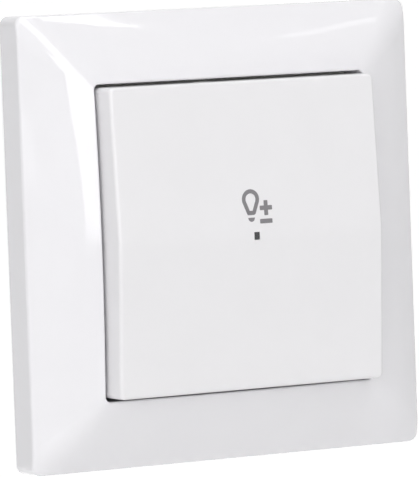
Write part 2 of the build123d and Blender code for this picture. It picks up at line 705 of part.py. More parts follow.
def panhead_screws(places, radius, length):
    """Pan-head screws with cross recesses that come through the strap from the front."""
    with BuildPart(mode=Mode.PRIVATE) as screws:
        with BuildSketch(facing(STRAP_THICKNESS - length)):
            with Locations(*places):
                Circle(radius)
        extrude(amount=length)
        with BuildSketch(facing(STRAP_THICKNESS)):
            with Locations(*places):
                Circle(SCREW_HEAD_RADIUS)
        extrude(amount=SCREW_HEAD_HEIGHT, taper=SCREW_HEAD_TAPER)
        head_plane = facing(STRAP_THICKNESS + SCREW_HEAD_HEIGHT)
        extrude(cross_recess(head_plane, places), amount=-RECESS_DEPTH, mode=Mode.SUBTRACT)
    return screws


finish(panhead_screws(screw_places, SCREW_RADIUS, SCREW_LENGTH), "housing_screws")
finish(panhead_screws([(claw_screw_x, 0)], CLAW_SCREW_RADIUS, CLAW_SCREW_LENGTH), "right_claw_screw")
finish(panhead_screws([(-claw_screw_x, 0)], CLAW_SCREW_RADIUS, CLAW_SCREW_LENGTH), "left_claw_screw")


# Claws: a slotted leg under the strap, a toothed arm along the housing and a pin through both ears
leg_half = CLAW_THICKNESS / 2
arm_x = claw_pivot_x - leg_half

with BuildPart() as right_claw:
    with BuildSketch(Plane.XY):
        with BuildLine():
            Polyline(
                (arm_x - leg_half, CLAW_PIVOT_DEPTH - leg_half),
                (claw_pivot_x + CLAW_LEG, CLAW_PIVOT_DEPTH - leg_half),
                (claw_pivot_x + CLAW_LEG, CLAW_PIVOT_DEPTH + leg_half),
                (arm_x + leg_half, CLAW_PIVOT_DEPTH + leg_half),
                (arm_x + leg_half, CLAW_ARM_DEPTH - CLAW_TOOTH - CLAW_THICKNESS),
                (arm_x + leg_half + CLAW_TOOTH, CLAW_ARM_DEPTH - CLAW_THICKNESS),
                (arm_x + leg_half + CLAW_TOOTH - leg_half, CLAW_ARM_DEPTH),
                (arm_x - leg_half, CLAW_ARM_DEPTH - CLAW_TOOTH),
                close=True,
            )
        make_face()
    extrude(amount=CLAW_WIDTH / 2, both=True)
    bend = right_claw.edges().filter_by(Axis.Z).sort_by(lambda edge: edge.center().X + edge.center().Y)[0]
    chamfer(bend, CLAW_THICKNESS / 2)
    with BuildSketch(Plane.XY):
        with Locations((claw_pivot_x, CLAW_PIVOT_DEPTH)):
            Circle(CLAW_PIN_RADIUS)
    extrude(amount=ear_outer_z, both=True)
    slot_x = claw_pivot_x + (CLAW_SLOT_START + CLAW_SLOT_END) / 2
    with BuildSketch(facing(-CLAW_PIVOT_DEPTH - CLAW_THICKNESS)):
        with Locations((slot_x, 0)):
            Rectangle(CLAW_SLOT_END - CLAW_SLOT_START, CLAW_SLOT_WIDTH)
    extrude(amount=2 * CLAW_THICKNESS, mode=Mode.SUBTRACT)
    with BuildSketch(Plane.YZ.offset(arm_x - CLAW_THICKNESS)):
        with Locations(((CLAW_PIVOT_DEPTH + leg_half + CLAW_SLOT_DEPTH) / 2, 0)):
            Rectangle(CLAW_SLOT_DEPTH - CLAW_PIVOT_DEPTH - leg_half, CLAW_SLOT_WIDTH)
    extrude(amount=2 * CLAW_THICKNESS, mode=Mode.SUBTRACT)
    tooth_edge = arm_x + leg_half + CLAW_TOOTH
    with BuildSketch(facing(-CLAW_ARM_DEPTH)):
        with Locations(*[(tooth_edge, CLAW_WIDTH * share) for share in (-0.25, 0, 0.25)]):
            Rectangle(CLAW_NOTCH, CLAW_NOTCH, rotation=45)
    extrude(amount=CLAW_THICKNESS + CLAW_TOOTH, mode=Mode.SUBTRACT)
finish(right_claw, "right_claw")

with BuildPart() as left_claw:
    add(mirror(right_claw.part, about=Plane.YZ, mode=Mode.PRIVATE))
finish(left_claw, "left_claw")


# Rocker carrier: tilting frame with trunnions in the housing's ears
with BuildPart() as rocker_carrier:
    with BuildSketch(facing(CARRIER_OUT)):
        RectangleRounded(2 * carrier_half, 2 * carrier_half, CARRIER_CORNER)
        for x in (-CARRIER_WINDOW_X, CARRIER_WINDOW_X):
            with Locations((x, -CARRIER_WINDOW_Z), (x, CARRIER_WINDOW_Z)):
                Rectangle(CARRIER_WINDOW_WIDTH, CARRIER_WINDOW_HEIGHT, mode=Mode.SUBTRACT)
        with Locations((WINDOW_X, WINDOW_Z)):
            guide_hole = GUIDE_STEM + 2 * GUIDE_HOLE_GAP
            Rectangle(guide_hole, guide_hole, mode=Mode.SUBTRACT)
    extrude(amount=CARRIER_THICKNESS)
    for sign in (-1, 1):
        with BuildSketch(Plane.YZ.offset(sign * (lug_inner_x + lug_outer_x) / 2)):
            with Locations((-AXIS_OUT, 0)):
                Circle(LUG_RADIUS)
            with Locations((-(AXIS_OUT + carrier_top) / 2, 0)):
                Rectangle(carrier_top - AXIS_OUT, 2 * LUG_RADIUS)
        extrude(amount=(lug_outer_x - lug_inner_x) / 2, both=True)
        with BuildSketch(Plane.YZ.offset(sign * (lug_outer_x + bearing_outer_x) / 2)):
            with Locations((-AXIS_OUT, 0)):
                Circle(TRUNNION_RADIUS)
        extrude(amount=(bearing_outer_x - lug_outer_x) / 2, both=True)
    with BuildSketch(facing(plunger_head_out + NIB_GAP)):
        with Locations((0, -PLUNGER_AT), (0, PLUNGER_AT)):
            Circle(NIB_RADIUS)
    extrude(amount=carrier_top - plunger_head_out - NIB_GAP)
finish(rocker_carrier, "rocker_carrier")


# Rocker key: moulded cap with a ribbed back, hooks round the carrier and a collar for the guide
hook_inner = carrier_half + PLUNGER_GAP
hook_foot = CARRIER_OUT - PLUNGER_GAP
rib_length = 2 * (key_inner - KEY_RIB_END)


def roof_profile(half, edge_out, ridge_out, foot_out):
    """Section of the key's cap across its ridge, in the plane of depth and height."""
    with BuildSketch(Plane.YZ.offset(-half), mode=Mode.PRIVATE) as section:
        with BuildLine():
            Polyline(
                (-foot_out, -half),
                (-edge_out, -half),
                (-ridge_out, 0),
                (-edge_out, half),
                (-foot_out, half),
                close=True,
            )
        make_face()
    return section.sketch


with BuildPart() as rocker_key:
    extrude(roof_profile(key_half, key_edge_out, key_ridge_out, KEY_SKIRT_OUT), amount=2 * key_half)
    key_corners = [
        edge for edge in rocker_key.edges().filter_by(Axis.Y) if abs(edge.center().Z) > key_half - 0.01
    ]
    fillet(key_corners, KEY_CORNER_RADIUS)
    ridge = rocker_key.edges().filter_by(Axis.X).sort_by(Axis.Y)[0]
    fillet(ridge, KEY_RIDGE_FILLET)
    front_rim = [
        edge
        for edge in rocker_key.edges()
        if edge.center().Y < -key_edge_out + 0.01
        and all(
            max(abs((edge @ at).X), abs((edge @ at).Z)) > key_half - KEY_CORNER_RADIUS / 2
            for at in (0.0, 0.5, 1.0)
        )
    ]
    fillet(front_rim, KEY_EDGE_FILLET)
    extrude(
        roof_profile(key_inner, key_edge_out - KEY_ROOF, key_roof_back, KEY_SKIRT_OUT),
        amount=2 * key_inner,
        mode=Mode.SUBTRACT,
    )
    rib_top = key_roof_back + KEY_RIB_ROOT
    with BuildSketch(facing(carrier_top)):
        with Locations((-KEY_RIB_AT, 0), (KEY_RIB_AT, 0)):
            Rectangle(KEY_RIB, rib_length)
        with Locations((0, -KEY_RIB_AT), (0, KEY_RIB_AT)):
            Rectangle(rib_length, KEY_RIB)
    extrude(amount=rib_top - carrier_top)
    with BuildSketch(facing(hook_foot - HOOK_BARB)):
        for sign in (-1, 1):
            with Locations(*[(sign * (hook_inner + HOOK_THICKNESS / 2), at) for at in (-HOOK_AT, HOOK_AT)]):
                Rectangle(HOOK_THICKNESS, HOOK_WIDTH)
    extrude(amount=rib_top - hook_foot + HOOK_BARB)
    for at in (-HOOK_AT, HOOK_AT):
        for sign in (-1, 1):
            with BuildSketch(Plane.XY.offset(at)):
                with BuildLine():
                    Polyline(
                        (sign * hook_inner, -hook_foot),
                        (sign * (hook_inner - HOOK_BARB), -hook_foot),
                        (sign * hook_inner, -hook_foot + HOOK_BARB),
                        close=True,
                    )
                make_face()
            extrude(amount=HOOK_WIDTH / 2, both=True)
    with BuildSketch(facing(collar_out)):
        with Locations((WINDOW_X, WINDOW_Z)):
            Rectangle(WINDOW_WIDTH + 2 * GUIDE_COLLAR_WALL, WINDOW_HEIGHT + 2 * GUIDE_COLLAR_WALL)
    extrude(amount=rib_top - collar_out)
    with BuildSketch(facing(collar_out)):
        with Locations((WINDOW_X, WINDOW_Z)):
            Rectangle(WINDOW_WIDTH, WINDOW_HEIGHT)
    extrude(amount=key_ridge_out - collar_out, mode=Mode.SUBTRACT)
finish(rocker_key, "rocker_key")

with BuildPart() as key_light_guide:
    with BuildSketch(facing(collar_out)):
        with Locations((WINDOW_X, WINDOW_Z)):
            Rectangle(WINDOW_WIDTH - 2 * GUIDE_GAP, WINDOW_HEIGHT - 2 * GUIDE_GAP)
    extrude(amount=key_ridge_out - collar_out - GUIDE_SUNK)
    with BuildSketch(facing(guide_tip_out)):
        with Locations((WINDOW_X, WINDOW_Z)):
            Rectangle(GUIDE_STEM, GUIDE_STEM)
    extrude(amount=collar_out - guide_tip_out)
    tip = key_light_guide.faces().sort_by(Axis.Y)[-1].edges()
    chamfer(tip, GUIDE_STEM / 6)
finish(key_light_guide, "key_light_guide")


# Plungers and their springs, above and below the hinge line
spring_length = plunger_head_out - PLUNGER_HEAD_THICKNESS - BOSS_OUT
spring_rise = spring_length - SPRING_WIRE - 2 * SPRING_GAP

for place, name in ((PLUNGER_AT, "upper"), (-PLUNGER_AT, "lower")):
    with BuildPart() as plunger:
        with BuildSketch(facing(-PLUNGER_TIP_DEPTH)):
            with Locations((0, place)):
                Circle(PLUNGER_RADIUS)
        extrude(amount=PLUNGER_TIP_DEPTH + plunger_head_out)
        with BuildSketch(facing(plunger_head_out - PLUNGER_HEAD_THICKNESS)):
            with Locations((0, place)):
                Circle(PLUNGER_HEAD_RADIUS)
        extrude(amount=PLUNGER_HEAD_THICKNESS)
        barb_middle = PLUNGER_TIP_DEPTH - PLUNGER_BARB_LENGTH / 2
        with Locations(Location((0, barb_middle, place), (90, 0, 0))):
            Cone(PLUNGER_RADIUS, PLUNGER_BARB_RADIUS, PLUNGER_BARB_LENGTH)
        with BuildSketch(facing(-PLUNGER_TIP_DEPTH)):
            with Locations((0, place)):
                Rectangle(SPRING_WIRE, 2 * PLUNGER_BARB_RADIUS)
        extrude(amount=PLUNGER_TIP_DEPTH, mode=Mode.SUBTRACT)
    finish(plunger, f"{name}_plunger")

    with BuildPart() as spring:
        spring_foot = (0, -BOSS_OUT - SPRING_GAP - SPRING_WIRE / 2, place)
        with BuildLine():
            coil = Helix(spring_rise / SPRING_TURNS, spring_rise, SPRING_RADIUS, spring_foot, (0, -1, 0))
        with BuildSketch(Plane(origin=coil @ 0, z_dir=coil % 0)):
            Rectangle(SPRING_WIRE, SPRING_WIRE)
        sweep(is_frenet=True)
    finish(spring, f"{name}_plunger_spring")


# Lift terminals
for place, name in zip(terminal_x, ("left", "middle", "right")):
    with BuildPart() as bar:
        bar_length = floor_depth - power_board_back - BAR_END_GAP
        with BuildSketch(Plane.XY.offset(bar_bottom_z)):
            with Locations((place, power_board_back + bar_length / 2)):
                Rectangle(BAR_WIDTH, bar_length)
        extrude(amount=BAR_THICKNESS)
    finish(bar, f"{name}_terminal_bar")

    with BuildPart() as cage:
        with BuildSketch(facing(-TERMINAL_DEPTH - CAGE_LENGTH / 2)):
            with Locations((place, (cage_top_z + cage_bottom_z) / 2)):
                cage_outline = Rectangle(CAGE_WIDTH, cage_top_z - cage_bottom_z)
                chamfer(cage_outline.vertices(), CAGE_SIDE / 2)
            with Locations((place, (cage_top_z - CAGE_SIDE + cage_bottom_z + CAGE_FLOOR) / 2)):
                Rectangle(
                    CAGE_WIDTH - 2 * CAGE_SIDE,
                    cage_top_z - CAGE_SIDE - cage_bottom_z - CAGE_FLOOR,
                    mode=Mode.SUBTRACT,
                )
        extrude(amount=CAGE_LENGTH)
        with BuildSketch(Plane.XY.offset(cage_bottom_z)):
            with Locations((place, TERMINAL_DEPTH)):
                Circle(TERMINAL_SCREW_RADIUS + TERMINAL_SCREW_GAP)
        extrude(amount=CAGE_FLOOR, mode=Mode.SUBTRACT)
    finish(cage, f"{name}_terminal_cage")

    with BuildPart() as terminal_screw:
        screw_tip_z = bar_bottom_z - TERMINAL_TIP_GAP
        head_top_z = cage_bottom_z - CAGE_TRAVEL - TERMINAL_HEAD_DROP
        with BuildSketch(Plane.XY.offset(head_top_z)):
            with Locations((place, TERMINAL_DEPTH)):
                Circle(TERMINAL_SCREW_RADIUS)
        extrude(amount=screw_tip_z - head_top_z)
        with BuildSketch(Plane.XY.offset(head_top_z)):
            with Locations((place, TERMINAL_DEPTH)):
                Circle(TERMINAL_HEAD_RADIUS)
        extrude(amount=-TERMINAL_HEAD_HEIGHT)
        slot_face = Plane.XY.offset(head_top_z - TERMINAL_HEAD_HEIGHT)
        recess = cross_recess(slot_face, [(place, TERMINAL_DEPTH)])
        extrude(recess, amount=RECESS_DEPTH, mode=Mode.SUBTRACT)
    finish(terminal_screw, f"{name}_terminal_screw")


# Control board in the front room, with its two switches, lamp and controller
with BuildPart() as control_board:
    board_outline = insert_outline(
        facing(-CONTROL_BOARD_DEPTH - CONTROL_BOARD_THICKNESS),
        inner_radius - BOARD_GAP,
        inner_width - 2 * BOARD_GAP,
    )
    extrude(board_outline, amount=CONTROL_BOARD_THICKNESS)
    with BuildSketch(facing(-CONTROL_BOARD_DEPTH - CONTROL_BOARD_THICKNESS)):
        with Locations(*screw_places):
            Rectangle(2 * (POST_RADIUS + BOARD_GAP), 2 * (POST_RADIUS + BOARD_GAP))
    extrude(amount=CONTROL_BOARD_THICKNESS, mode=Mode.SUBTRACT)
finish(control_board, "control_board")

switch_front = PLUNGER_TIP_DEPTH + SWITCH_REACH
for place, name in ((PLUNGER_AT, "upper"), (-PLUNGER_AT, "lower")):
    with BuildPart() as tact_switch:
        switch_height = CONTROL_BOARD_DEPTH - switch_front - SWITCH_BUTTON_HEIGHT
        with BuildSketch(facing(-CONTROL_BOARD_DEPTH)):
            with Locations((0, place)):
                Rectangle(SWITCH_SIZE, SWITCH_SIZE)
        extrude(amount=switch_height)
        with BuildSketch(facing(-CONTROL_BOARD_DEPTH)):
            with Locations((0, place)):
                Circle(SWITCH_BUTTON_RADIUS)
        extrude(amount=switch_height + SWITCH_BUTTON_HEIGHT)
    finish(tact_switch, f"{name}_tact_switch")

with BuildPart() as indicator_led:
    with BuildSketch(facing(led_base_out)):
        with Locations((WINDOW_X, WINDOW_Z)):
            Circle(LED_RADIUS)
    extrude(amount=led_top_out - led_base_out)
    dome = indicator_led.faces().sort_by(Axis.Y)[0].edges()
    chamfer(dome, LED_RADIUS / 2)
    with BuildSketch(facing(led_base_out)):
        with Locations((WINDOW_X, WINDOW_Z)):
            Circle(LED_FLANGE)
    extrude(amount=LED_FLANGE_HEIGHT)
    with BuildSketch(facing(-CONTROL_BOARD_DEPTH)):
        with Locations((WINDOW_X - LEAD_PITCH / 2, WINDOW_Z), (WINDOW_X + LEAD_PITCH / 2, WINDOW_Z)):
            Rectangle(LEAD, LEAD)
    extrude(amount=CONTROL_BOARD_DEPTH + led_base_out)
finish(indicator_led, "indicator_led")

with BuildPart() as microcontroller:
    with BuildSketch(facing(-CONTROL_BOARD_DEPTH)):
        with Locations((CHIP_X, 0)):
            Rectangle(CHIP_SIZE, CHIP_SIZE)
    extrude(amount=CHIP_HEIGHT)
    with BuildSketch(facing(-CONTROL_BOARD_DEPTH)):
        with Locations((CHIP_X, 0)):
            with GridLocations(CHIP_LEG_PITCH, 0, CHIP_LEG_COUNT, 1):
                Rectangle(CHIP_LEG_WIDTH, CHIP_LEG_SPAN)
    extrude(amount=CHIP_LEG_HEIGHT)
finish(microcontroller, "microcontroller")


# Power board behind it, with the parts that switch the lamp's current
with BuildPart() as power_board:
    with BuildSketch(facing(-power_board_back)):
        Circle(rear_inner_radius - BOARD_GAP)
        Rectangle(rear_inner_width - 2 * BOARD_GAP, rear_cut, mode=Mode.INTERSECT)
        with Locations((0, floor_flat_z + BOARD_GAP - rear_cut / 2)):
            Rectangle(rear_cut, rear_cut, mode=Mode.SUBTRACT)
    extrude(amount=POWER_BOARD_THICKNESS)
finish(power_board, "power_board")

with BuildPart() as board_connector:
    with BuildSketch(facing(-POWER_BOARD_DEPTH)):
        with Locations((0, CONNECTOR_Z)):
            Rectangle(CONNECTOR_PINS * LEAD_PITCH, LEAD_PITCH)
    extrude(amount=POWER_BOARD_DEPTH - CONTROL_BOARD_DEPTH - CONTROL_BOARD_THICKNESS)
    connector_sides = board_connector.edges().filter_by(Axis.Y)
    chamfer(connector_sides, LEAD)
finish(board_connector, "board_connector")

sink_depth = floor_depth - power_board_back - SINK_END_GAP
with BuildPart() as heat_sink:
    with BuildSketch(Plane.XY.offset(SINK_TOP_Z - SINK_THICKNESS)):
        with Locations((0, power_board_back + sink_depth / 2)):
            Rectangle(SINK_WIDTH, sink_depth)
    extrude(amount=SINK_THICKNESS)
    with BuildSketch(Plane.XY.offset(SINK_TOP_Z)):
        with Locations((0, power_board_back + sink_depth / 2)):
            with GridLocations(SINK_FIN_PITCH, 0, SINK_FIN_COUNT, 1):
                Rectangle(SINK_FIN_WIDTH, sink_depth)
    extrude(amount=SINK_FIN_HEIGHT)
finish(heat_sink, "heat_sink")

for sign, name in ((-1, "left"), (1, "right")):
    with BuildPart() as transistor:
        body_depth = power_board_back + TRANSISTOR_STAND
        with BuildSketch(Plane.XY.offset(SINK_TOP_Z - SINK_THICKNESS)):
            with Locations((sign * TRANSISTOR_AT, body_depth + TRANSISTOR_LENGTH / 2)):
                Rectangle(TRANSISTOR_WIDTH, TRANSISTOR_LENGTH)
        extrude(amount=-TRANSISTOR_THICKNESS)
        with BuildSketch(Plane.XY.offset(SINK_TOP_Z - SINK_THICKNESS - TRANSISTOR_LEG_DROP)):
            for lead in (-LEAD_PITCH, 0, LEAD_PITCH):
                with Locations((sign * TRANSISTOR_AT + lead, (power_board_back + body_depth) / 2)):
                    Rectangle(TRANSISTOR_LEG_WIDTH, TRANSISTOR_STAND)
        extrude(amount=LEAD)
    finish(transistor, f"{name}_transistor")

choke_depth = power_board_back + CHOKE_STAND + CHOKE_WIRE
with BuildPart() as choke_core:
    with BuildSketch(facing(-choke_depth - CHOKE_HEIGHT)):
        with Locations((choke_x, CHOKE_Z)):
            Circle(CHOKE_OUTER)
            Circle(CHOKE_INNER, mode=Mode.SUBTRACT)
    extrude(amount=CHOKE_HEIGHT)
finish(choke_core, "choke_core")

turn_length = CHOKE_OUTER - CHOKE_INNER + 2 * CHOKE_WIRE_GAP
turn_height = CHOKE_HEIGHT + 2 * CHOKE_WIRE_GAP
with BuildPart() as wire_turn:
    with BuildSketch(Plane.XY):
        with Locations(((CHOKE_OUTER + CHOKE_INNER) / 2, 0)):
            Rectangle(turn_length + 2 * CHOKE_WIRE, turn_height + 2 * CHOKE_WIRE)
            Rectangle(turn_length, turn_height, mode=Mode.SUBTRACT)
    extrude(amount=CHOKE_WIRE / 2, both=True)

with BuildPart() as choke_winding:
    choke_middle = Location((choke_x, choke_depth + CHOKE_HEIGHT / 2, CHOKE_Z))
    for turn in range(CHOKE_TURNS):
        add(wire_turn.part.rotate(Axis.Y, 360 / CHOKE_TURNS * turn).moved(choke_middle))
finish(choke_winding, "choke_winding")

with BuildPart() as film_capacitor:
    with BuildSketch(facing(-power_board_back - FILM_LENGTH)):
        with Locations((film_x, FILM_Z)):
            RectangleRounded(FILM_WIDTH, FILM_HEIGHT, FILM_CORNER)
    extrude(amount=FILM_LENGTH)
finish(film_capacitor, "film_capacitor")

with BuildPart() as electrolytic_capacitor:
    with BuildSketch(facing(-power_board_back - CAN_LENGTH)):
        with Locations((can_x, CAN_Z)):
            Circle(CAN_RADIUS)
    extrude(amount=CAN_LENGTH)
    chamfer(electrolytic_capacitor.edges().group_by(Axis.Y)[-1], CAN_ROLL)
finish(electrolytic_capacitor, "electrolytic_capacitor")

with BuildPart() as fuse:
    with BuildSketch(facing(-power_board_back - FUSE_LENGTH)):
        with Locations((fuse_x, FUSE_Z)):
            Circle(FUSE_RADIUS)
    extrude(amount=FUSE_LENGTH)
finish(fuse, "fuse")

with BuildPart() as varistor:
    with BuildSketch(Plane.XY.offset(VARISTOR_Z)):
        with Locations((varistor_x, power_board_back + VARISTOR_STAND + VARISTOR_RADIUS)):
            Circle(VARISTOR_RADIUS)
    extrude(amount=VARISTOR_THICKNESS / 2, both=True)
    chamfer(varistor.edges(), VARISTOR_EDGE)
    with BuildSketch(facing(-power_board_back - VARISTOR_LEAD_LENGTH)):
        with Locations(
            (varistor_x - LEAD_PITCH, VARISTOR_Z), (varistor_x + LEAD_PITCH, VARISTOR_Z)
        ):
            Rectangle(LEAD, LEAD)
    extrude(amount=VARISTOR_LEAD_LENGTH)
finish(varistor, "varistor")
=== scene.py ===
"""Looks of a flush wall dimmer: its finishes, printed sign, screw threads, studio and camera.

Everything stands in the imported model's own frame, in metres: +Z is up, the front looks along -Y
and the wall is the plane y = 0. Sizes in the classes are millimetres, and "out" is a height in
front of the wall, so y = -out.
"""

import json
import logging
import math
from dataclasses import dataclass, field
from enum import Enum

import bmesh
import bpy
import numpy as np
from mathutils import Matrix, Vector


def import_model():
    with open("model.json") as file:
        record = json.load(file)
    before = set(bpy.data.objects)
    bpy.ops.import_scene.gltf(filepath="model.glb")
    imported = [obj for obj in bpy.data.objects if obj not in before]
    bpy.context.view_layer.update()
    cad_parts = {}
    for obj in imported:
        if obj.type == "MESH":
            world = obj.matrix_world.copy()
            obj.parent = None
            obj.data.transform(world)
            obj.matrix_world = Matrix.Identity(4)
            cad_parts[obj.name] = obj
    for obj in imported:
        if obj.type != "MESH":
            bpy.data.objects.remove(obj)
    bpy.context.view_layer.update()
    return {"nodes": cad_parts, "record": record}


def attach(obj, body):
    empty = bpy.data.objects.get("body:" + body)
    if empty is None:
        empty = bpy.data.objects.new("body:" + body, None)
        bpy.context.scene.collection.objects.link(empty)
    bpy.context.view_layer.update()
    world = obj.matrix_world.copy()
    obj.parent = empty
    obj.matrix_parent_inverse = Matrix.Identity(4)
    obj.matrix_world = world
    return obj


log = logging.getLogger("dimmer")

MM = 0.001
WHITE = (1.0, 1.0, 1.0, 1.0)

# Points of a new mesh that lie closer than this are one point, in metres
MERGE = 1e-8
# Shorter edges than this are dissolved, in metres, and nothing is divided by less
TINY = 1e-9
# Radians that Blender's wave texture turns over one unit of its scaled place
WAVE_TURN = 20


class Body(Enum):
    """The moving bodies that a new piece can ride on."""

    ROCKER = "rocker"
    LEFT_CLAW_SCREW = "left_claw_screw_body"
    RIGHT_CLAW_SCREW = "right_claw_screw_body"


class Lay(Enum):
    """Direction in which a metal's rolling, drawing or extruding lines run."""

    ALONG_X = (0.04, 1.0, 1.0)
    ALONG_Y = (1.0, 0.04, 1.0)
    ALONG_Z = (1.0, 1.0, 0.04)


def linear(hex_colour: str) -> tuple[float, float, float, float]:
    """Turn an sRGB hex colour into linear light.

    Args:
        hex_colour: six hex digits after a hash sign.

    Returns:
        Linear red, green, blue and an alpha of 1.
    """
    parts = [int(hex_colour[at:at + 2], 16) / 255 for at in (1, 3, 5)]
    light = [p / 12.92 if p <= 0.04045 else ((p + 0.055) / 1.055) ** 2.4 for p in parts]
    return (*light, 1.0)


def per_metre(size_mm: float) -> float:
    """Turn the size of a pattern's one repeat into a texture scale.

    Args:
        size_mm: length of one repeat.

    Returns:
        Repeats per metre.
    """
    return 1 / (size_mm * MM)


def add(tree: bpy.types.NodeTree, kind: str, settings: dict | None = None,
        links: dict | None = None, **options) -> bpy.types.Node:
    """Add one node with its settings and links.

    Args:
        tree: node tree that gets the node.
        kind: Blender's name of the node's type.
        settings: constant of each input, by the input's name or number.
        links: output socket that feeds each input, by the input's name or number.
        **options: the node's own options, such as its operation.

    Returns:
        The new node.
    """
    node = tree.nodes.new(kind)
    for option, value in options.items():
        setattr(node, option, value)
    for socket, value in (settings or {}).items():
        node.inputs[socket].default_value = value
    for socket, source in (links or {}).items():
        tree.links.new(source, node.inputs[socket])
    return node


def empty_tree(owner: bpy.types.ID) -> bpy.types.NodeTree:
    """Give a new material or world an empty node tree.

    Args:
        owner: the material or world.

    Returns:
        Its node tree.
    """
    owner.use_nodes = True
    owner.node_tree.nodes.clear()
    return owner.node_tree


def noise(tree: bpy.types.NodeTree, place: bpy.types.NodeSocket, size_mm: float,
          detail: float) -> bpy.types.NodeSocket:
    """Add a soft noise pattern.

    Args:
        tree: node tree that gets the pattern.
        place: coordinates that it follows.
        size_mm: size of its patches.
        detail: how many finer layers it has.

    Returns:
        The pattern, from 0 to 1.
    """
    return add(tree, "ShaderNodeTexNoise", {"Scale": per_metre(size_mm), "Detail": detail},
               {"Vector": place}).outputs["Fac"]


def seen_rays(tree: bpy.types.NodeTree) -> bpy.types.NodeSocket:
    """Tell the rays that show a surface from those that only light others with it.

    Args:
        tree: node tree that gets the nodes.

    Returns:
        1 for camera, glossy and transmission rays, and 0 for all others.
    """
    path = add(tree, "ShaderNodeLightPath").outputs
    seen = path["Is Camera Ray"]
    for ray in ("Is Glossy Ray", "Is Transmission Ray"):
        seen = add(tree, "ShaderNodeMath", links={0: seen, 1: path[ray]},
                   operation="MAXIMUM").outputs[0]
    return seen


@dataclass(frozen=True)
class Finish:
    """What every finish has: a name, a colour with its darker or lighter tone, and a gloss.

    The tone mixes with the colour in soft patches of patch_mm, and the roughness wanders by
    rough_spread round its middle value in the same patches.
    """

    name: str
    colour: str
    tone: str
    roughness: float
    rough_spread: float = 0.03
    patch_mm: float = 9.0
    ior: float = 1.5

    def material(self) -> bpy.types.Material:
        """Build the finish's material, once for each name.

        Returns:
            The Blender material.
        """
        known = bpy.data.materials.get(self.name)
        if known:
            return known
        made = bpy.data.materials.new(self.name)
        tree = empty_tree(made)
        shader = add(tree, "ShaderNodeBsdfPrincipled")
        add(tree, "ShaderNodeOutputMaterial", links={"Surface": shader.outputs["BSDF"]})
        place = add(tree, "ShaderNodeTexCoord").outputs["Object"]
        self.paint(tree, shader, place)
        return made

    def paint(self, tree: bpy.types.NodeTree, shader: bpy.types.Node,
              place: bpy.types.NodeSocket) -> None:
        """Give the shader its patches of tone and gloss.

        Args:
            tree: the material's node tree.
            shader: its Principled shader.
            place: the piece's own coordinates.
        """
        shader.inputs["IOR"].default_value = self.ior
        patches = noise(tree, place, self.patch_mm, 3.0)
        tint = add(tree, "ShaderNodeMix", {"A": linear(self.colour), "B": linear(self.tone)},
                   {"Factor": patches}, data_type="RGBA")
        tree.links.new(tint.outputs["Result"], shader.inputs["Base Color"])
        gloss = add(tree, "ShaderNodeMapRange",
                    {"To Min": self.roughness - self.rough_spread,
                     "To Max": self.roughness + self.rough_spread}, {"Value": patches})
        tree.links.new(gloss.outputs["Result"], shader.inputs["Roughness"])

    def relief(self, tree: bpy.types.NodeTree, shader: bpy.types.Node,
               height: bpy.types.NodeSocket, depth_mm: float) -> None:
        """Raise the surface by a pattern, on top of any relief that it has.

        Args:
            tree: the material's node tree.
            shader: its Principled shader.
            height: pattern from 0 to 1.
            depth_mm: real height of the pattern's highest point over its lowest.
        """
        feeds = {"Height": height}
        if shader.inputs["Normal"].is_linked:
            feeds["Normal"] = shader.inputs["Normal"].links[0].from_socket
        bump = add(tree, "ShaderNodeBump", {"Distance": depth_mm * MM, "Strength": 1.0}, feeds)
        tree.links.new(bump.outputs["Normal"], shader.inputs["Normal"])


@dataclass(frozen=True)
class Moulding(Finish):
    """Injection-moulded thermoplastic: the eye sees an even body colour under a clean gloss.

    The tool's finish shows as a fine peel of peel_mm, and a spark-eroded tool adds a sharper
    grain of grain_mm. A polished tool has grain_depth_mm of nothing.
    """

    peel_mm: float = 1.6
    peel_depth_mm: float = 0.0006
    grain_mm: float = 0.25
    grain_depth_mm: float = 0.0

    def paint(self, tree: bpy.types.NodeTree, shader: bpy.types.Node,
              place: bpy.types.NodeSocket) -> None:
        """Add the tool's peel and grain to the patches.

        Args:
            tree: the material's node tree.
            shader: its Principled shader.
            place: the piece's own coordinates.
        """
        super().paint(tree, shader, place)
        self.relief(tree, shader, noise(tree, place, self.peel_mm, 1.0), self.peel_depth_mm)
        if self.grain_depth_mm:
            grain = noise(tree, place, self.grain_mm, 4.0)
            self.relief(tree, shader, grain, self.grain_depth_mm)


@dataclass(frozen=True)
class SmokedClear(Moulding):
    """Smoke-tinted clear polycarbonate or epoxy: dark face on, with light let through its edges."""

    through: float = 0.4

    def paint(self, tree: bpy.types.NodeTree, shader: bpy.types.Node,
              place: bpy.types.NodeSocket) -> None:
        """Let part of the light through the moulding.

        Args:
            tree: the material's node tree.
            shader: its Principled shader.
            place: the piece's own coordinates.
        """
        super().paint(tree, shader, place)
        shader.inputs["Transmission Weight"].default_value = self.through


@dataclass(frozen=True)
class Metal(Finish):
    """Worked metal: an even lustre with fine lines one way, line_mm apart."""

    lay: Lay = Lay.ALONG_Y
    line_mm: float = 0.15
    line_depth_mm: float = 0.001

    def paint(self, tree: bpy.types.NodeTree, shader: bpy.types.Node,
              place: bpy.types.NodeSocket) -> None:
        """Make the shader a metal with lines.

        Args:
            tree: the material's node tree.
            shader: its Principled shader.
            place: the piece's own coordinates.
        """
        super().paint(tree, shader, place)
        shader.inputs["Metallic"].default_value = 1.0
        stretched = add(tree, "ShaderNodeMapping", {"Scale": self.lay.value}, {"Vector": place})
        lines = noise(tree, stretched.outputs["Vector"], self.line_mm, 2.0)
        self.relief(tree, shader, lines, self.line_depth_mm)


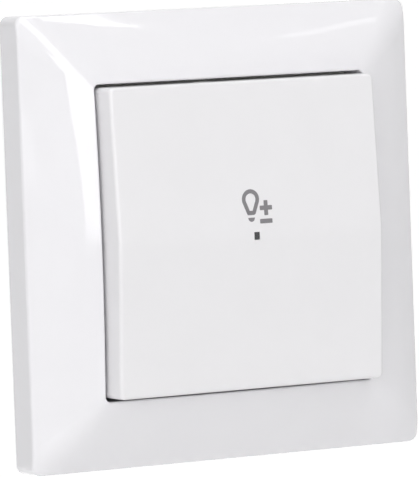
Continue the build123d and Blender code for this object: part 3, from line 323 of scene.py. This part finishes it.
@dataclass(frozen=True)
class PlatedSteel(Metal):
    """Bright zinc over rolled, drawn or turned steel: grey lustre over the mill's lines.

    The plating's crystals show as cells of crystal_mm, each with up to crystal_share of the tone.
    """

    lay: Lay = Lay.ALONG_X
    line_mm: float = 0.18
    line_depth_mm: float = 0.0015
    crystal_mm: float = 2.2
    crystal_share: float = 0.55

    def paint(self, tree: bpy.types.NodeTree, shader: bpy.types.Node,
              place: bpy.types.NodeSocket) -> None:
        """Add the plating's crystals to the metal.

        Args:
            tree: the material's node tree.
            shader: its Principled shader.
            place: the piece's own coordinates.
        """
        super().paint(tree, shader, place)
        crystals = add(tree, "ShaderNodeTexVoronoi", {"Scale": per_metre(self.crystal_mm)},
                       {"Vector": place}).outputs["Color"]
        shade = add(tree, "ShaderNodeSeparateColor", links={"Color": crystals}).outputs["Red"]
        spread = add(tree, "ShaderNodeMapRange", {"To Min": 0.0, "To Max": self.crystal_share},
                     {"Value": shade})
        base = shader.inputs["Base Color"].links[0].from_socket
        flecked = add(tree, "ShaderNodeMix", {"B": linear(self.tone)},
                      {"Factor": spread.outputs["Result"], "A": base}, data_type="RGBA")
        tree.links.new(flecked.outputs["Result"], shader.inputs["Base Color"])


@dataclass(frozen=True)
class BareMetal(Metal):
    """Plain brass, copper or aluminium as it leaves the tool; wire has a coat of enamel."""

    coat: float = 0.0

    def paint(self, tree: bpy.types.NodeTree, shader: bpy.types.Node,
              place: bpy.types.NodeSocket) -> None:
        """Lay the enamel over the metal.

        Args:
            tree: the material's node tree.
            shader: its Principled shader.
            place: the piece's own coordinates.
        """
        super().paint(tree, shader, place)
        shader.inputs["Coat Weight"].default_value = self.coat


@dataclass(frozen=True)
class Sintered(Finish):
    """Ferrite or ceramic, pressed and fired: a dull dark body with small pores."""

    pore_mm: float = 0.35
    pore_depth_mm: float = 0.02

    def paint(self, tree: bpy.types.NodeTree, shader: bpy.types.Node,
              place: bpy.types.NodeSocket) -> None:
        """Sink the pores into the patches.

        Args:
            tree: the material's node tree.
            shader: its Principled shader.
            place: the piece's own coordinates.
        """
        super().paint(tree, shader, place)
        pores = add(tree, "ShaderNodeTexVoronoi", {"Scale": per_metre(self.pore_mm)},
                    {"Vector": place})
        self.relief(tree, shader, pores.outputs["Distance"], self.pore_depth_mm)


@dataclass(frozen=True)
class CircuitBoard(Finish):
    """Glass-epoxy laminate under solder mask: green over copper tracks, with a woven relief.

    Tracks show a little lighter through the mask. They are brick courses of track_mm: length,
    height and gap are shares of it. The cloth's waves turn by a radian in wave_mm.
    """

    track_mm: float = 2.4
    track_length: float = 3.0
    track_height: float = 0.5
    track_gap: float = 0.12
    wave_mm: float = 0.5
    wave_depth_mm: float = 0.004

    def paint(self, tree: bpy.types.NodeTree, shader: bpy.types.Node,
              place: bpy.types.NodeSocket) -> None:
        """Lay the tracks under the mask and the cloth under both.

        Args:
            tree: the material's node tree.
            shader: its Principled shader.
            place: the piece's own coordinates.
        """
        super().paint(tree, shader, place)
        turned = add(tree, "ShaderNodeMapping", {"Rotation": (math.pi / 2, 0, 0)},
                     {"Vector": place}).outputs["Vector"]
        tracks = add(tree, "ShaderNodeTexBrick",
                     {"Scale": per_metre(self.track_mm), "Mortar Size": self.track_gap,
                      "Brick Width": self.track_length, "Row Height": self.track_height,
                      "Color1": linear(self.tone), "Color2": linear(self.tone),
                      "Mortar": linear(self.colour)}, {"Vector": turned})
        tree.links.new(tracks.outputs["Color"], shader.inputs["Base Color"])
        self.relief(tree, shader, tracks.outputs["Fac"], self.wave_depth_mm)
        for direction in ("X", "Z"):
            waves = add(tree, "ShaderNodeTexWave", {"Scale": per_metre(self.wave_mm) / WAVE_TURN},
                        {"Vector": place}, bands_direction=direction)
            self.relief(tree, shader, waves.outputs["Fac"], self.wave_depth_mm)


@dataclass(frozen=True)
class Ink(Finish):
    """Pad-printed grey ink: a matt film with a slight pinhole grain of grain_mm."""

    grain_mm: float = 0.12
    grain_depth_mm: float = 0.002

    def paint(self, tree: bpy.types.NodeTree, shader: bpy.types.Node,
              place: bpy.types.NodeSocket) -> None:
        """Roughen the film.

        Args:
            tree: the material's node tree.
            shader: its Principled shader.
            place: the piece's own coordinates.
        """
        super().paint(tree, shader, place)
        self.relief(tree, shader, noise(tree, place, self.grain_mm, 2.0), self.grain_depth_mm)


FRAME_WHITE = Moulding("polished_white_polycarbonate", "#ecebee", "#e9e8eb", 0.05, 0.01,
                       ior=1.52, peel_depth_mm=0.0002)
KEY_WHITE = Moulding("satin_white_polycarbonate", "#ebeaec", "#e8e7e9", 0.2, 0.02,
                     ior=1.52, peel_depth_mm=0.0002)
SMOKE = SmokedClear("smoked_clear_polycarbonate", "#4b4b4d", "#424244", 0.22, 0.02, ior=1.58)
NYLON = Moulding("natural_glass_filled_nylon", "#d2d1c8", "#c6c4b8", 0.42, 0.06,
                 grain_mm=0.5, grain_depth_mm=0.004)
ACETAL = Moulding("white_acetal", "#e8e6dd", "#dedbd0", 0.3, 0.04, ior=1.48, peel_depth_mm=0.001)
RING_WHITE = Moulding("white_acetal_ring", "#e4e4df", "#dadad3", 0.32, 0.04, ior=1.48,
                      peel_depth_mm=0.001)
HOUSING_GREY = Moulding("dark_grey_flame_retardant_nylon", "#484a4c", "#3e4042", 0.48, 0.06,
                        grain_mm=0.3, grain_depth_mm=0.006)
FRONT_GREY = Moulding("light_grey_polycarbonate", "#b9bab9", "#afb0af", 0.4, 0.05,
                      grain_mm=0.3, grain_depth_mm=0.004)
SWITCH_BLACK = Moulding("black_polybutylene", "#333334", "#2a2a2b", 0.4, 0.05,
                        grain_mm=0.2, grain_depth_mm=0.002)
CHIP_BLACK = Moulding("moulded_black_epoxy", "#38383a", "#2e2e30", 0.55, 0.05,
                      grain_mm=0.15, grain_depth_mm=0.004)
LENS = SmokedClear("amber_epoxy_lens", "#dd8a3c", "#d07a2e", 0.12, 0.02, through=0.7)
FILM_BOX = Moulding("yellow_polyester_box", "#caa83a", "#be9b2f", 0.28, 0.04)
SLEEVE = Moulding("dark_blue_shrink_sleeve", "#31385f", "#2a3054", 0.22, 0.04, peel_depth_mm=0.003)
CAP_BLACK = Moulding("black_nylon_cap", "#39393a", "#303031", 0.3, 0.04)
LACQUER = Moulding("blue_dipped_lacquer", "#3d63a8", "#34589c", 0.25, 0.05, peel_mm=2.5,
                   peel_depth_mm=0.02)
STRAP_ZINC = PlatedSteel("zinc_plated_sheet", "#c3c7ca", "#a9aeb3", 0.3, 0.05)
SPRING_STEEL = PlatedSteel("drawn_spring_wire", "#b6b7ba", "#9fa0a4", 0.26, 0.03, crystal_mm=0.8)
SCREW_ZINC = PlatedSteel("yellow_zinc_screw_steel", "#cfcabb", "#b9b39d", 0.27, 0.04,
                         lay=Lay.ALONG_X, crystal_mm=1.1)
CLAW_ZINC = PlatedSteel("zinc_plated_spring_steel", "#bfc1c3", "#a5a8ab", 0.33, 0.05,
                        lay=Lay.ALONG_Z, crystal_mm=1.6)
BRASS = BareMetal("turned_brass", "#d8c07a", "#c9ae66", 0.28, 0.04)
COPPER = BareMetal("enamelled_copper", "#c9794a", "#b8683b", 0.25, 0.03, coat=0.8)
ALUMINIUM = BareMetal("extruded_aluminium", "#cfd0d2", "#c2c4c6", 0.32, 0.05)
FERRITE = Sintered("coated_ferrite", "#4f5052", "#434446", 0.6, 0.08)
LAMINATE = CircuitBoard("green_masked_laminate", "#2c6b45", "#357a50", 0.3, 0.03)
GREY_INK = Ink("grey_pad_print", "#7f7d80", "#7b797c", 0.55, 0.05)

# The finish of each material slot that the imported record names
SLOT_FINISHES = {
    "frame_plastic": FRAME_WHITE, "key_plastic": KEY_WHITE, "window_plastic": SMOKE,
    "carrier_plastic": NYLON, "plunger_plastic": ACETAL, "spring_steel": SPRING_STEEL,
    "strap_steel": STRAP_ZINC, "ring_plastic": RING_WHITE, "housing_plastic": HOUSING_GREY,
    "front_plastic": FRONT_GREY, "screw_steel": SCREW_ZINC, "claw_steel": CLAW_ZINC,
    "terminal_brass": BRASS, "board_laminate": LAMINATE, "switch_black": SWITCH_BLACK,
    "lamp_lens": LENS, "chip_epoxy": CHIP_BLACK, "sink_aluminium": ALUMINIUM,
    "ferrite": FERRITE, "copper_wire": COPPER, "film_box": FILM_BOX, "can_sleeve": SLEEVE,
    "fuse_cap": CAP_BLACK, "varistor_lacquer": LACQUER,
}


def surface(name: str, grid: np.ndarray, closed: bool = True) -> bpy.types.Object:
    """Make a mesh object from a grid of points.

    Each face joins four neighbours of the grid. A row whose points are all the same place
    becomes one pole.

    Args:
        name: the new object's name.
        grid: points in metres, rows by columns by 3.
        closed: whether the last column joins the first.

    Returns:
        The new object, in the scene's collection.
    """
    rows, columns = grid.shape[:2]
    index = np.arange(rows * columns).reshape(rows, columns)
    ends = np.roll(index, -1, axis=1) if closed else index[:, 1:]
    starts = index if closed else index[:, :-1]
    quads = np.stack([starts[:-1], ends[:-1], ends[1:], starts[1:]], axis=-1).reshape(-1, 4)
    mesh = bpy.data.meshes.new(name)
    mesh.from_pydata(grid.reshape(-1, 3).tolist(), [], quads.tolist())
    made = bpy.data.objects.new(name, mesh)
    bpy.context.scene.collection.objects.link(made)
    tidy_normals(mesh)
    return made


def tidy_normals(mesh: bpy.types.Mesh) -> None:
    """Merge the poles' doubled points and turn every face outwards.

    Args:
        mesh: the mesh to tidy.
    """
    working = bmesh.new()
    working.from_mesh(mesh)
    bmesh.ops.remove_doubles(working, verts=working.verts, dist=MERGE)
    bmesh.ops.dissolve_degenerate(working, edges=working.edges, dist=TINY)
    bmesh.ops.recalc_face_normals(working, faces=working.faces)
    working.to_mesh(mesh)
    working.free()


def dress(nodes: dict[str, bpy.types.Object], slots: dict[str, str],
          names: tuple[str, ...]) -> None:
    """Give CAD nodes the finishes of their slots.

    Args:
        nodes: the frame's nodes by name.
        slots: the material slot of each node.
        names: the nodes to dress.
    """
    for name in names:
        finish = SLOT_FINISHES[slots[name]]
        for held in nodes[name].material_slots:
            held.material = finish.material()
        log.info("%s wears %s", name, finish.name)


class Assembly:
    """A group of the model's nodes that are dressed together."""

    nodes: tuple[str, ...] = ()

    def build(self) -> list[bpy.types.Object]:
        """Make what the model leaves out of this group.

        Returns:
            The new pieces: none unless the group has some.
        """
        return []


@dataclass
class CoverFrame(Assembly):
    """The crowned square frame, a single polished moulding."""

    nodes: tuple[str, ...] = ("cover_frame",)


@dataclass
class RockerKey(Assembly):
    """The key with its printed bulb, plus and minus, its light guide and its carrier.

    The print lies on the upper half of the key's face, which falls away from the middle ridge
    by face_fall for each millimetre of height. The ink stands film over the face and reaches
    film_root into it. Centres are x and z on the key. The bulb's line is first walked at the
    steps of its globe, neck and foot, then evenly at the columns.
    """

    nodes: tuple[str, ...] = ("rocker_key", "key_light_guide", "rocker_carrier")
    ridge_out: float = 16.8
    face_fall: float = 1.6 / 27.45
    film: float = 0.03
    film_root: float = 0.02
    stroke: float = 0.74
    globe_centre: tuple[float, float] = (-0.095, 6.4)
    globe_radius: float = 1.41
    neck_half: float = 0.54
    neck_foot: float = 3.97
    cap_centre: tuple[float, float] = (-0.12, 3.13)
    cap_half: float = 0.68
    cap_drop: float = 0.74
    plus_centre: tuple[float, float] = (2.99, 4.75)
    plus_half: tuple[float, float] = (1.28, 1.33)
    bar_half: float = 0.4
    minus_centre: tuple[float, float] = (2.9, 2.39)
    squareness: int = 14
    columns: int = 96
    globe_steps: int = 400
    neck_steps: int = 200
    foot_steps: int = 80

    def on_face(self, flat: np.ndarray, raised: float) -> np.ndarray:
        """Lay points of the print on the key's face.

        Args:
            flat: x and z in millimetres, in the last axis.
            raised: height over the face in millimetres.

        Returns:
            The points in metres: y is minus the face's height there and the raise.
        """
        out = self.ridge_out - self.face_fall * np.abs(flat[..., 1]) + raised
        return np.stack([flat[..., 0], -out, flat[..., 1]], axis=-1) * MM

    def ink(self, name: str, outer: np.ndarray, inner: np.ndarray) -> bpy.types.Object:
        """Make a film of ink between two outlines of as many points.

        The film's section has four corners: inner foot, inner top, outer top and outer foot.

        Args:
            name: the piece's name.
            outer: outer outline, x and z in millimetres.
            inner: inner outline, or one point repeated for a film without a hole.

        Returns:
            The film, riding on the rocker.
        """
        hollow = not np.allclose(inner, inner[0])
        rows = [self.on_face(inner, -self.film_root), self.on_face(inner, self.film),
                self.on_face(outer, self.film), self.on_face(outer, -self.film_root)]
        if hollow:
            rows.append(rows[0])
        else:
            rows = rows[1:] + [rows[0]]
        film = surface(name, np.stack(rows))
        film.data.materials.append(GREY_INK.material())
        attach(film, Body.ROCKER.value)
        return film

    def bulb_line(self) -> tuple[np.ndarray, np.ndarray]:
        """Middle line of the bulb's outline and its outward directions.

        The globe is an arc. From its ends two straight lines run to the neck's foot, touching
        the globe, and a short line closes the foot.

        Returns:
            Points and outward directions, x and z, as many as there are columns. A direction is
            a unit long on a straight run and reaches the mitre at a corner.
        """
        cx, cz = self.globe_centre
        foot = np.array([self.neck_half, self.neck_foot - cz])
        reach = np.hypot(*foot)
        lean = math.acos(self.globe_radius / reach)
        touch = math.atan2(foot[1], foot[0]) + lean
        arc = np.linspace(touch, math.pi - touch, self.globe_steps)
        globe = self.globe_radius * np.stack([np.cos(arc), np.sin(arc)], axis=-1)
        left_foot = foot * (-1, 1)
        walk = np.concatenate([globe, self.between(globe[-1], left_foot, self.neck_steps)[1:],
                               self.between(left_foot, foot, self.foot_steps)[1:],
                               self.between(foot, globe[0], self.neck_steps)[1:-1]])
        steps = np.r_[0, np.cumsum(np.hypot(*np.diff(walk, axis=0, append=walk[:1]).T))]
        even = np.linspace(0, steps[-1], self.columns, endpoint=False)
        ring = np.concatenate([walk, walk[:1]])
        line = np.stack([np.interp(even, steps, ring[:, axis]) for axis in (0, 1)], axis=-1)
        after = np.roll(line, -1, axis=0) - line
        after /= np.linalg.norm(after, axis=1, keepdims=True)
        along = after + np.roll(after, 1, axis=0)
        outward = np.stack([along[:, 1], -along[:, 0]], axis=-1)
        outward *= 2 / (outward ** 2).sum(axis=1, keepdims=True)
        return line + (cx, cz), outward

    @staticmethod
    def between(start: np.ndarray, end: np.ndarray, count: int) -> np.ndarray:
        """Space points evenly along the straight line from start to end.

        Args:
            start: first point.
            end: last point.
            count: how many points.

        Returns:
            The points, both ends among them.
        """
        share = np.linspace(0, 1, count)[:, None]
        return start + share * (end - start)

    def around(self) -> np.ndarray:
        """Directions all round a point, at even angles.

        Returns:
            Unit directions, x and z, as many as there are columns.
        """
        turn = np.linspace(0, 2 * math.pi, self.columns, endpoint=False)
        return np.stack([np.cos(turn), np.sin(turn)], axis=-1)

    def box_outline(self, centre: tuple[float, float], half: tuple[float, float]) -> np.ndarray:
        """Outline of a bar with slightly rounded corners: a curve |x/a|^n + |z/b|^n = 1.

        Args:
            centre: its middle, x and z.
            half: half its width and height.

        Returns:
            The outline's points, x and z.
        """
        unit = self.around()
        reach = (np.abs(unit) ** self.squareness).sum(axis=1) ** (-1 / self.squareness)
        return np.array(centre) + unit * half * reach[:, None]

    def plus_outline(self) -> np.ndarray:
        """Outline of the plus: the farther of its two bars' edges in each direction.

        Returns:
            The outline's points, x and z.
        """
        unit = self.around()
        long_x, long_z = self.plus_half
        size = np.maximum(np.abs(unit), TINY)
        across = np.minimum(long_x / size[:, 0], self.bar_half / size[:, 1])
        upright = np.minimum(self.bar_half / size[:, 0], long_z / size[:, 1])
        return np.array(self.plus_centre) + unit * np.maximum(across, upright)[:, None]

    def cap_outline(self) -> np.ndarray:
        """Outline of the bulb's foot contact: a flat top over a half round.

        Returns:
            The outline's points, x and z.
        """
        across, up = self.around().T
        flat = np.stack([self.cap_half * across, self.cap_drop * np.minimum(up, 0.0)], axis=-1)
        return np.array(self.cap_centre) + flat

    def build(self) -> list[bpy.types.Object]:
        """Print the bulb, its contact, the plus and the minus.

        Returns:
            The four films.
        """
        line, outward = self.bulb_line()
        half = self.stroke / 2
        cap = self.cap_outline()
        plus = self.plus_outline()
        minus = self.box_outline(self.minus_centre, (self.plus_half[0], self.bar_half))
        return [
            self.ink("printed_bulb", line + half * outward, line - half * outward),
            self.ink("printed_bulb_contact", cap, np.broadcast_to(cap.mean(axis=0), cap.shape)),
            self.ink("printed_plus", plus, np.broadcast_to(self.plus_centre, plus.shape)),
            self.ink("printed_minus", minus, np.broadcast_to(self.minus_centre, minus.shape)),
        ]


@dataclass
class StrapAndClaws(Assembly):
    """The sheet steel strap, its snap ring and the two claws with their threaded screws.

    Each thread runs from thread_start to thread_end behind the wall's plane.
    """

    nodes: tuple[str, ...] = ("mounting_strap", "retainer_ring", "right_claw", "left_claw",
                              "right_claw_screw", "left_claw_screw")
    screw_x: float = 24.3
    thread_start: float = 0.35
    thread_end: float = 9.3
    thread_root: float = 1.5
    thread_crest: float = 1.65
    thread_pitch: float = 0.5
    run_out: float = 0.5
    columns: int = 40
    rows_per_turn: int = 10

    def thread(self, name: str, x: float, body: Body) -> bpy.types.Object:
        """Cut a screw's thread as a sleeve over its shank.

        The radius is a triangle wave of the place along the axis less the turn's share of the
        pitch, and it sinks to the shank over the run-out at both ends.

        Args:
            name: the sleeve's name.
            x: the screw's place in millimetres.
            body: what it rides on.

        Returns:
            The sleeve.
        """
        rows = int((self.thread_end - self.thread_start) / self.thread_pitch * self.rows_per_turn)
        along = np.linspace(self.thread_start, self.thread_end, rows)[:, None]
        turn = np.linspace(0, 2 * math.pi, self.columns, endpoint=False)[None, :]
        phase = (along / self.thread_pitch - turn / (2 * math.pi)) % 1.0
        ridge = 1 - np.abs(2 * phase - 1)
        ends = np.minimum(along - self.thread_start, self.thread_end - along) / self.run_out
        ridge = ridge * np.clip(ends, 0, 1)
        radius = self.thread_root + (self.thread_crest - self.thread_root) * ridge
        grid = np.stack([x + radius * np.cos(turn), along + 0 * turn, radius * np.sin(turn)],
                        axis=-1) * MM
        middle = np.array([x, 0.0, 0.0]) * MM
        poles = [np.broadcast_to(middle + (0, at * MM, 0), grid[0].shape)
                 for at in (self.thread_start, self.thread_end)]
        sleeve = surface(name, np.concatenate([poles[:1], grid, poles[1:]]))
        sleeve.data.polygons.foreach_set("use_smooth", [True] * len(sleeve.data.polygons))
        sleeve.data.materials.append(SCREW_ZINC.material())
        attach(sleeve, body.value)
        return sleeve

    def build(self) -> list[bpy.types.Object]:
        """Cut both claw screws' threads.

        Returns:
            The two sleeves.
        """
        return [self.thread("right_claw_screw_thread", self.screw_x, Body.RIGHT_CLAW_SCREW),
                self.thread("left_claw_screw_thread", -self.screw_x, Body.LEFT_CLAW_SCREW)]


@dataclass
class Insert(Assembly):
    """The housing with the plungers, terminals and boards inside it."""

    sides: tuple[str, ...] = ("left", "middle", "right")
    halves: tuple[str, ...] = ("upper", "lower")
    loose: tuple[str, ...] = ("front_housing", "rear_housing", "housing_screws", "control_board",
                              "indicator_led", "microcontroller", "power_board",
                              "board_connector", "heat_sink", "left_transistor",
                              "right_transistor", "choke_core", "choke_winding",
                              "film_capacitor", "electrolytic_capacitor", "fuse", "varistor")

    @property
    def nodes(self) -> tuple[str, ...]:
        """Names of all the insert's CAD nodes.

        Returns:
            The loose ones, then each terminal's, then those of the key's two halves.
        """
        terminals = [f"{side}_terminal_{part}" for side in self.sides
                     for part in ("bar", "cage", "screw")]
        pushed = [f"{half}_{part}" for half in self.halves
                  for part in ("plunger", "plunger_spring", "tact_switch")]
        return (*self.loose, *terminals, *pushed)


@dataclass(frozen=True)
class Softbox:
    """A rectangular light that covers a range of directions as the part sees them.

    Azimuths grow to the photo's left from straight before the wall, and elevations upwards, in
    degrees. A light that isn't in_gloss lights the part and isn't mirrored in it.
    """

    name: str
    azimuth: tuple[float, float]
    elevation: tuple[float, float]
    radiance: float
    distance_m: float = 1.6
    in_gloss: bool = True

    def build(self) -> bpy.types.Object:
        """Hang the light and aim it at the origin.

        Returns:
            The light's object.
        """
        azimuth = math.radians(sum(self.azimuth) / 2)
        elevation = math.radians(sum(self.elevation) / 2)
        towards = Vector((-math.sin(azimuth) * math.cos(elevation),
                          -math.cos(azimuth) * math.cos(elevation), math.sin(elevation)))
        half_wide = math.radians(self.azimuth[1] - self.azimuth[0]) / 2
        half_tall = math.radians(self.elevation[1] - self.elevation[0]) / 2
        light = bpy.data.lights.new(self.name, "AREA")
        light.shape = "RECTANGLE"
        light.size = 2 * self.distance_m * math.tan(half_wide * math.cos(elevation))
        light.size_y = 2 * self.distance_m * math.tan(half_tall)
        light.energy = self.radiance * light.size * light.size_y * math.pi
        hung = bpy.data.objects.new(self.name, light)
        hung.location = towards * self.distance_m
        hung.rotation_euler = (-towards).to_track_quat("-Z", "Y").to_euler()
        hung.visible_camera = False
        hung.visible_glossy = self.in_gloss
        bpy.context.scene.collection.objects.link(hung)
        return hung


@dataclass
class Studio:
    """Pale floor, white surroundings and soft lights.

    The floor lies floor_drop below the part's middle and reaches floor_half to each side, both
    in metres. It glows by floor_glow where it is seen.
    """

    floor_drop: float = 0.3
    floor_half: float = 60.0
    sky_low: str = "#b4b4b4"
    sky_high: str = "#f3f3f3"
    sky_strength: float = 0.05
    floor_glow: float = 0.89
    floor_colour: str = "#f4f4f4"
    floor_roughness: float = 0.9
    lights: list[Softbox] = field(default_factory=lambda: [
        Softbox("front_softbox", (-10, 9.7), (-2.9, 14), 2.85),
        Softbox("upper_softbox", (-8, 4), (14, 46), 2.85),
        Softbox("left_softbox", (31.5, 62), (-2, 24), 1.15),
        Softbox("overhead_softbox", (-60, 16), (49.5, 80), 5.4),
        Softbox("right_strip", (-72, -44), (39, 41), 1.6),
        Softbox("middle_fill", (20, 60), (0, 40), 1.7, in_gloss=False),
        Softbox("left_fill", (60, 110), (-10, 40), 1.05, in_gloss=False),
        Softbox("right_fill", (-70, -30), (-10, 40), 0.1, in_gloss=False),
        Softbox("rear_fill", (150, 230), (0, 60), 0.9, in_gloss=False),
    ])

    def world(self) -> None:
        """Surround the scene: white where it is seen, and a faint sky that lights the rest."""
        made = bpy.data.worlds.new("studio_surround")
        tree = empty_tree(made)
        way = add(tree, "ShaderNodeTexCoord").outputs["Generated"]
        upwards = add(tree, "ShaderNodeSeparateXYZ", links={"Vector": way}).outputs["Z"]
        share = add(tree, "ShaderNodeMapRange", {"From Min": -1.0, "From Max": 1.0},
                    {"Value": upwards})
        sky = add(tree, "ShaderNodeMix", {"A": linear(self.sky_low), "B": linear(self.sky_high)},
                  {"Factor": share.outputs["Result"]}, data_type="RGBA")
        soft = add(tree, "ShaderNodeBackground", {"Strength": self.sky_strength},
                   {"Color": sky.outputs["Result"]})
        white = add(tree, "ShaderNodeBackground", {"Color": WHITE, "Strength": 1.0})
        both = add(tree, "ShaderNodeMixShader",
                   links={0: seen_rays(tree), 1: soft.outputs[0], 2: white.outputs[0]})
        add(tree, "ShaderNodeOutputWorld", links={"Surface": both.outputs[0]})
        bpy.context.scene.world = made

    def floor(self) -> bpy.types.Object:
        """Lay the floor: pale paint that reads white and still takes the part's shadow.

        Returns:
            The floor.
        """
        half, low = self.floor_half, -self.floor_drop
        grid = np.array([[(-half, -half, low), (half, -half, low)],
                         [(-half, half, low), (half, half, low)]])
        laid = surface("studio_floor", grid, closed=False)
        made = bpy.data.materials.new("white_floor_paint")
        tree = empty_tree(made)
        glow = add(tree, "ShaderNodeMath", {1: self.floor_glow}, {0: seen_rays(tree)},
                   operation="MULTIPLY")
        shader = add(tree, "ShaderNodeBsdfPrincipled",
                     {"Base Color": linear(self.floor_colour),
                      "Roughness": self.floor_roughness, "Emission Color": WHITE},
                     {"Emission Strength": glow.outputs[0]})
        add(tree, "ShaderNodeOutputMaterial", links={"Surface": shader.outputs["BSDF"]})
        laid.data.materials.append(made)
        return laid

    def build(self) -> None:
        """Set the world, the floor and the lights."""
        self.world()
        self.floor()
        for light in self.lights:
            light.build()
        bpy.context.scene.view_settings.view_transform = "Standard"


@dataclass(frozen=True)
class PhotoCamera:
    """The camera that looks at the part as the photograph does, from its front left.

    It stands turned_deg round to the left and raised_deg up, is rolled_deg about its own line
    of sight, and is shifted a little right and down in its own picture plane. Its lengths are
    millimetres, and it sees from near_m to far_m.
    """

    turned_deg: float = 31.101
    raised_deg: float = 3.364
    rolled_deg: float = -2.114
    distance: float = 1039.932
    shift_right: float = 0.935
    shift_up: float = -1.093
    focal_px: float = 5780.037
    picture_height_px: float = 477.0
    sensor: float = 36.0
    near_m: float = 0.05
    far_m: float = 200.0

    def build(self) -> bpy.types.Object:
        """Place the camera and make it the scene's.

        Returns:
            The camera's object.
        """
        turned, raised, rolled = (math.radians(angle) for angle in
                                  (self.turned_deg, self.raised_deg, self.rolled_deg))
        back = Vector((-math.sin(turned) * math.cos(raised),
                       -math.cos(turned) * math.cos(raised), math.sin(raised)))
        level = Vector((math.cos(turned), -math.sin(turned), 0))
        upright = back.cross(level)
        right = math.cos(rolled) * level + math.sin(rolled) * upright
        up = -math.sin(rolled) * level + math.cos(rolled) * upright
        stand = (self.distance * back + self.shift_right * right + self.shift_up * up) * MM
        lens = bpy.data.cameras.new("photo_camera")
        lens.sensor_width = self.sensor
        lens.lens = self.focal_px * self.sensor / self.picture_height_px
        lens.clip_start, lens.clip_end = self.near_m, self.far_m
        made = bpy.data.objects.new("photo_camera", lens)
        made.matrix_world = Matrix((
            (right.x, up.x, back.x, stand.x),
            (right.y, up.y, back.y, stand.y),
            (right.z, up.z, back.z, stand.z),
            (0, 0, 0, 1)))
        bpy.context.scene.collection.objects.link(made)
        bpy.context.scene.camera = made
        return made


def main() -> None:
    """Load the model, dress it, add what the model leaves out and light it."""
    logging.basicConfig(level=logging.INFO, format="%(name)s: %(message)s")
    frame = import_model()
    slots = {part["node"]: part["material_slot"] for part in frame["record"]["subparts"]}
    PhotoCamera().build()
    for assembly in (CoverFrame(), RockerKey(), StrapAndClaws(), Insert()):
        dress(frame["nodes"], slots, assembly.nodes)
        for piece in assembly.build():
            log.info("made %s with %d faces", piece.name, len(piece.data.polygons))
    Studio().build()


if __name__ == "__main__":
    main()
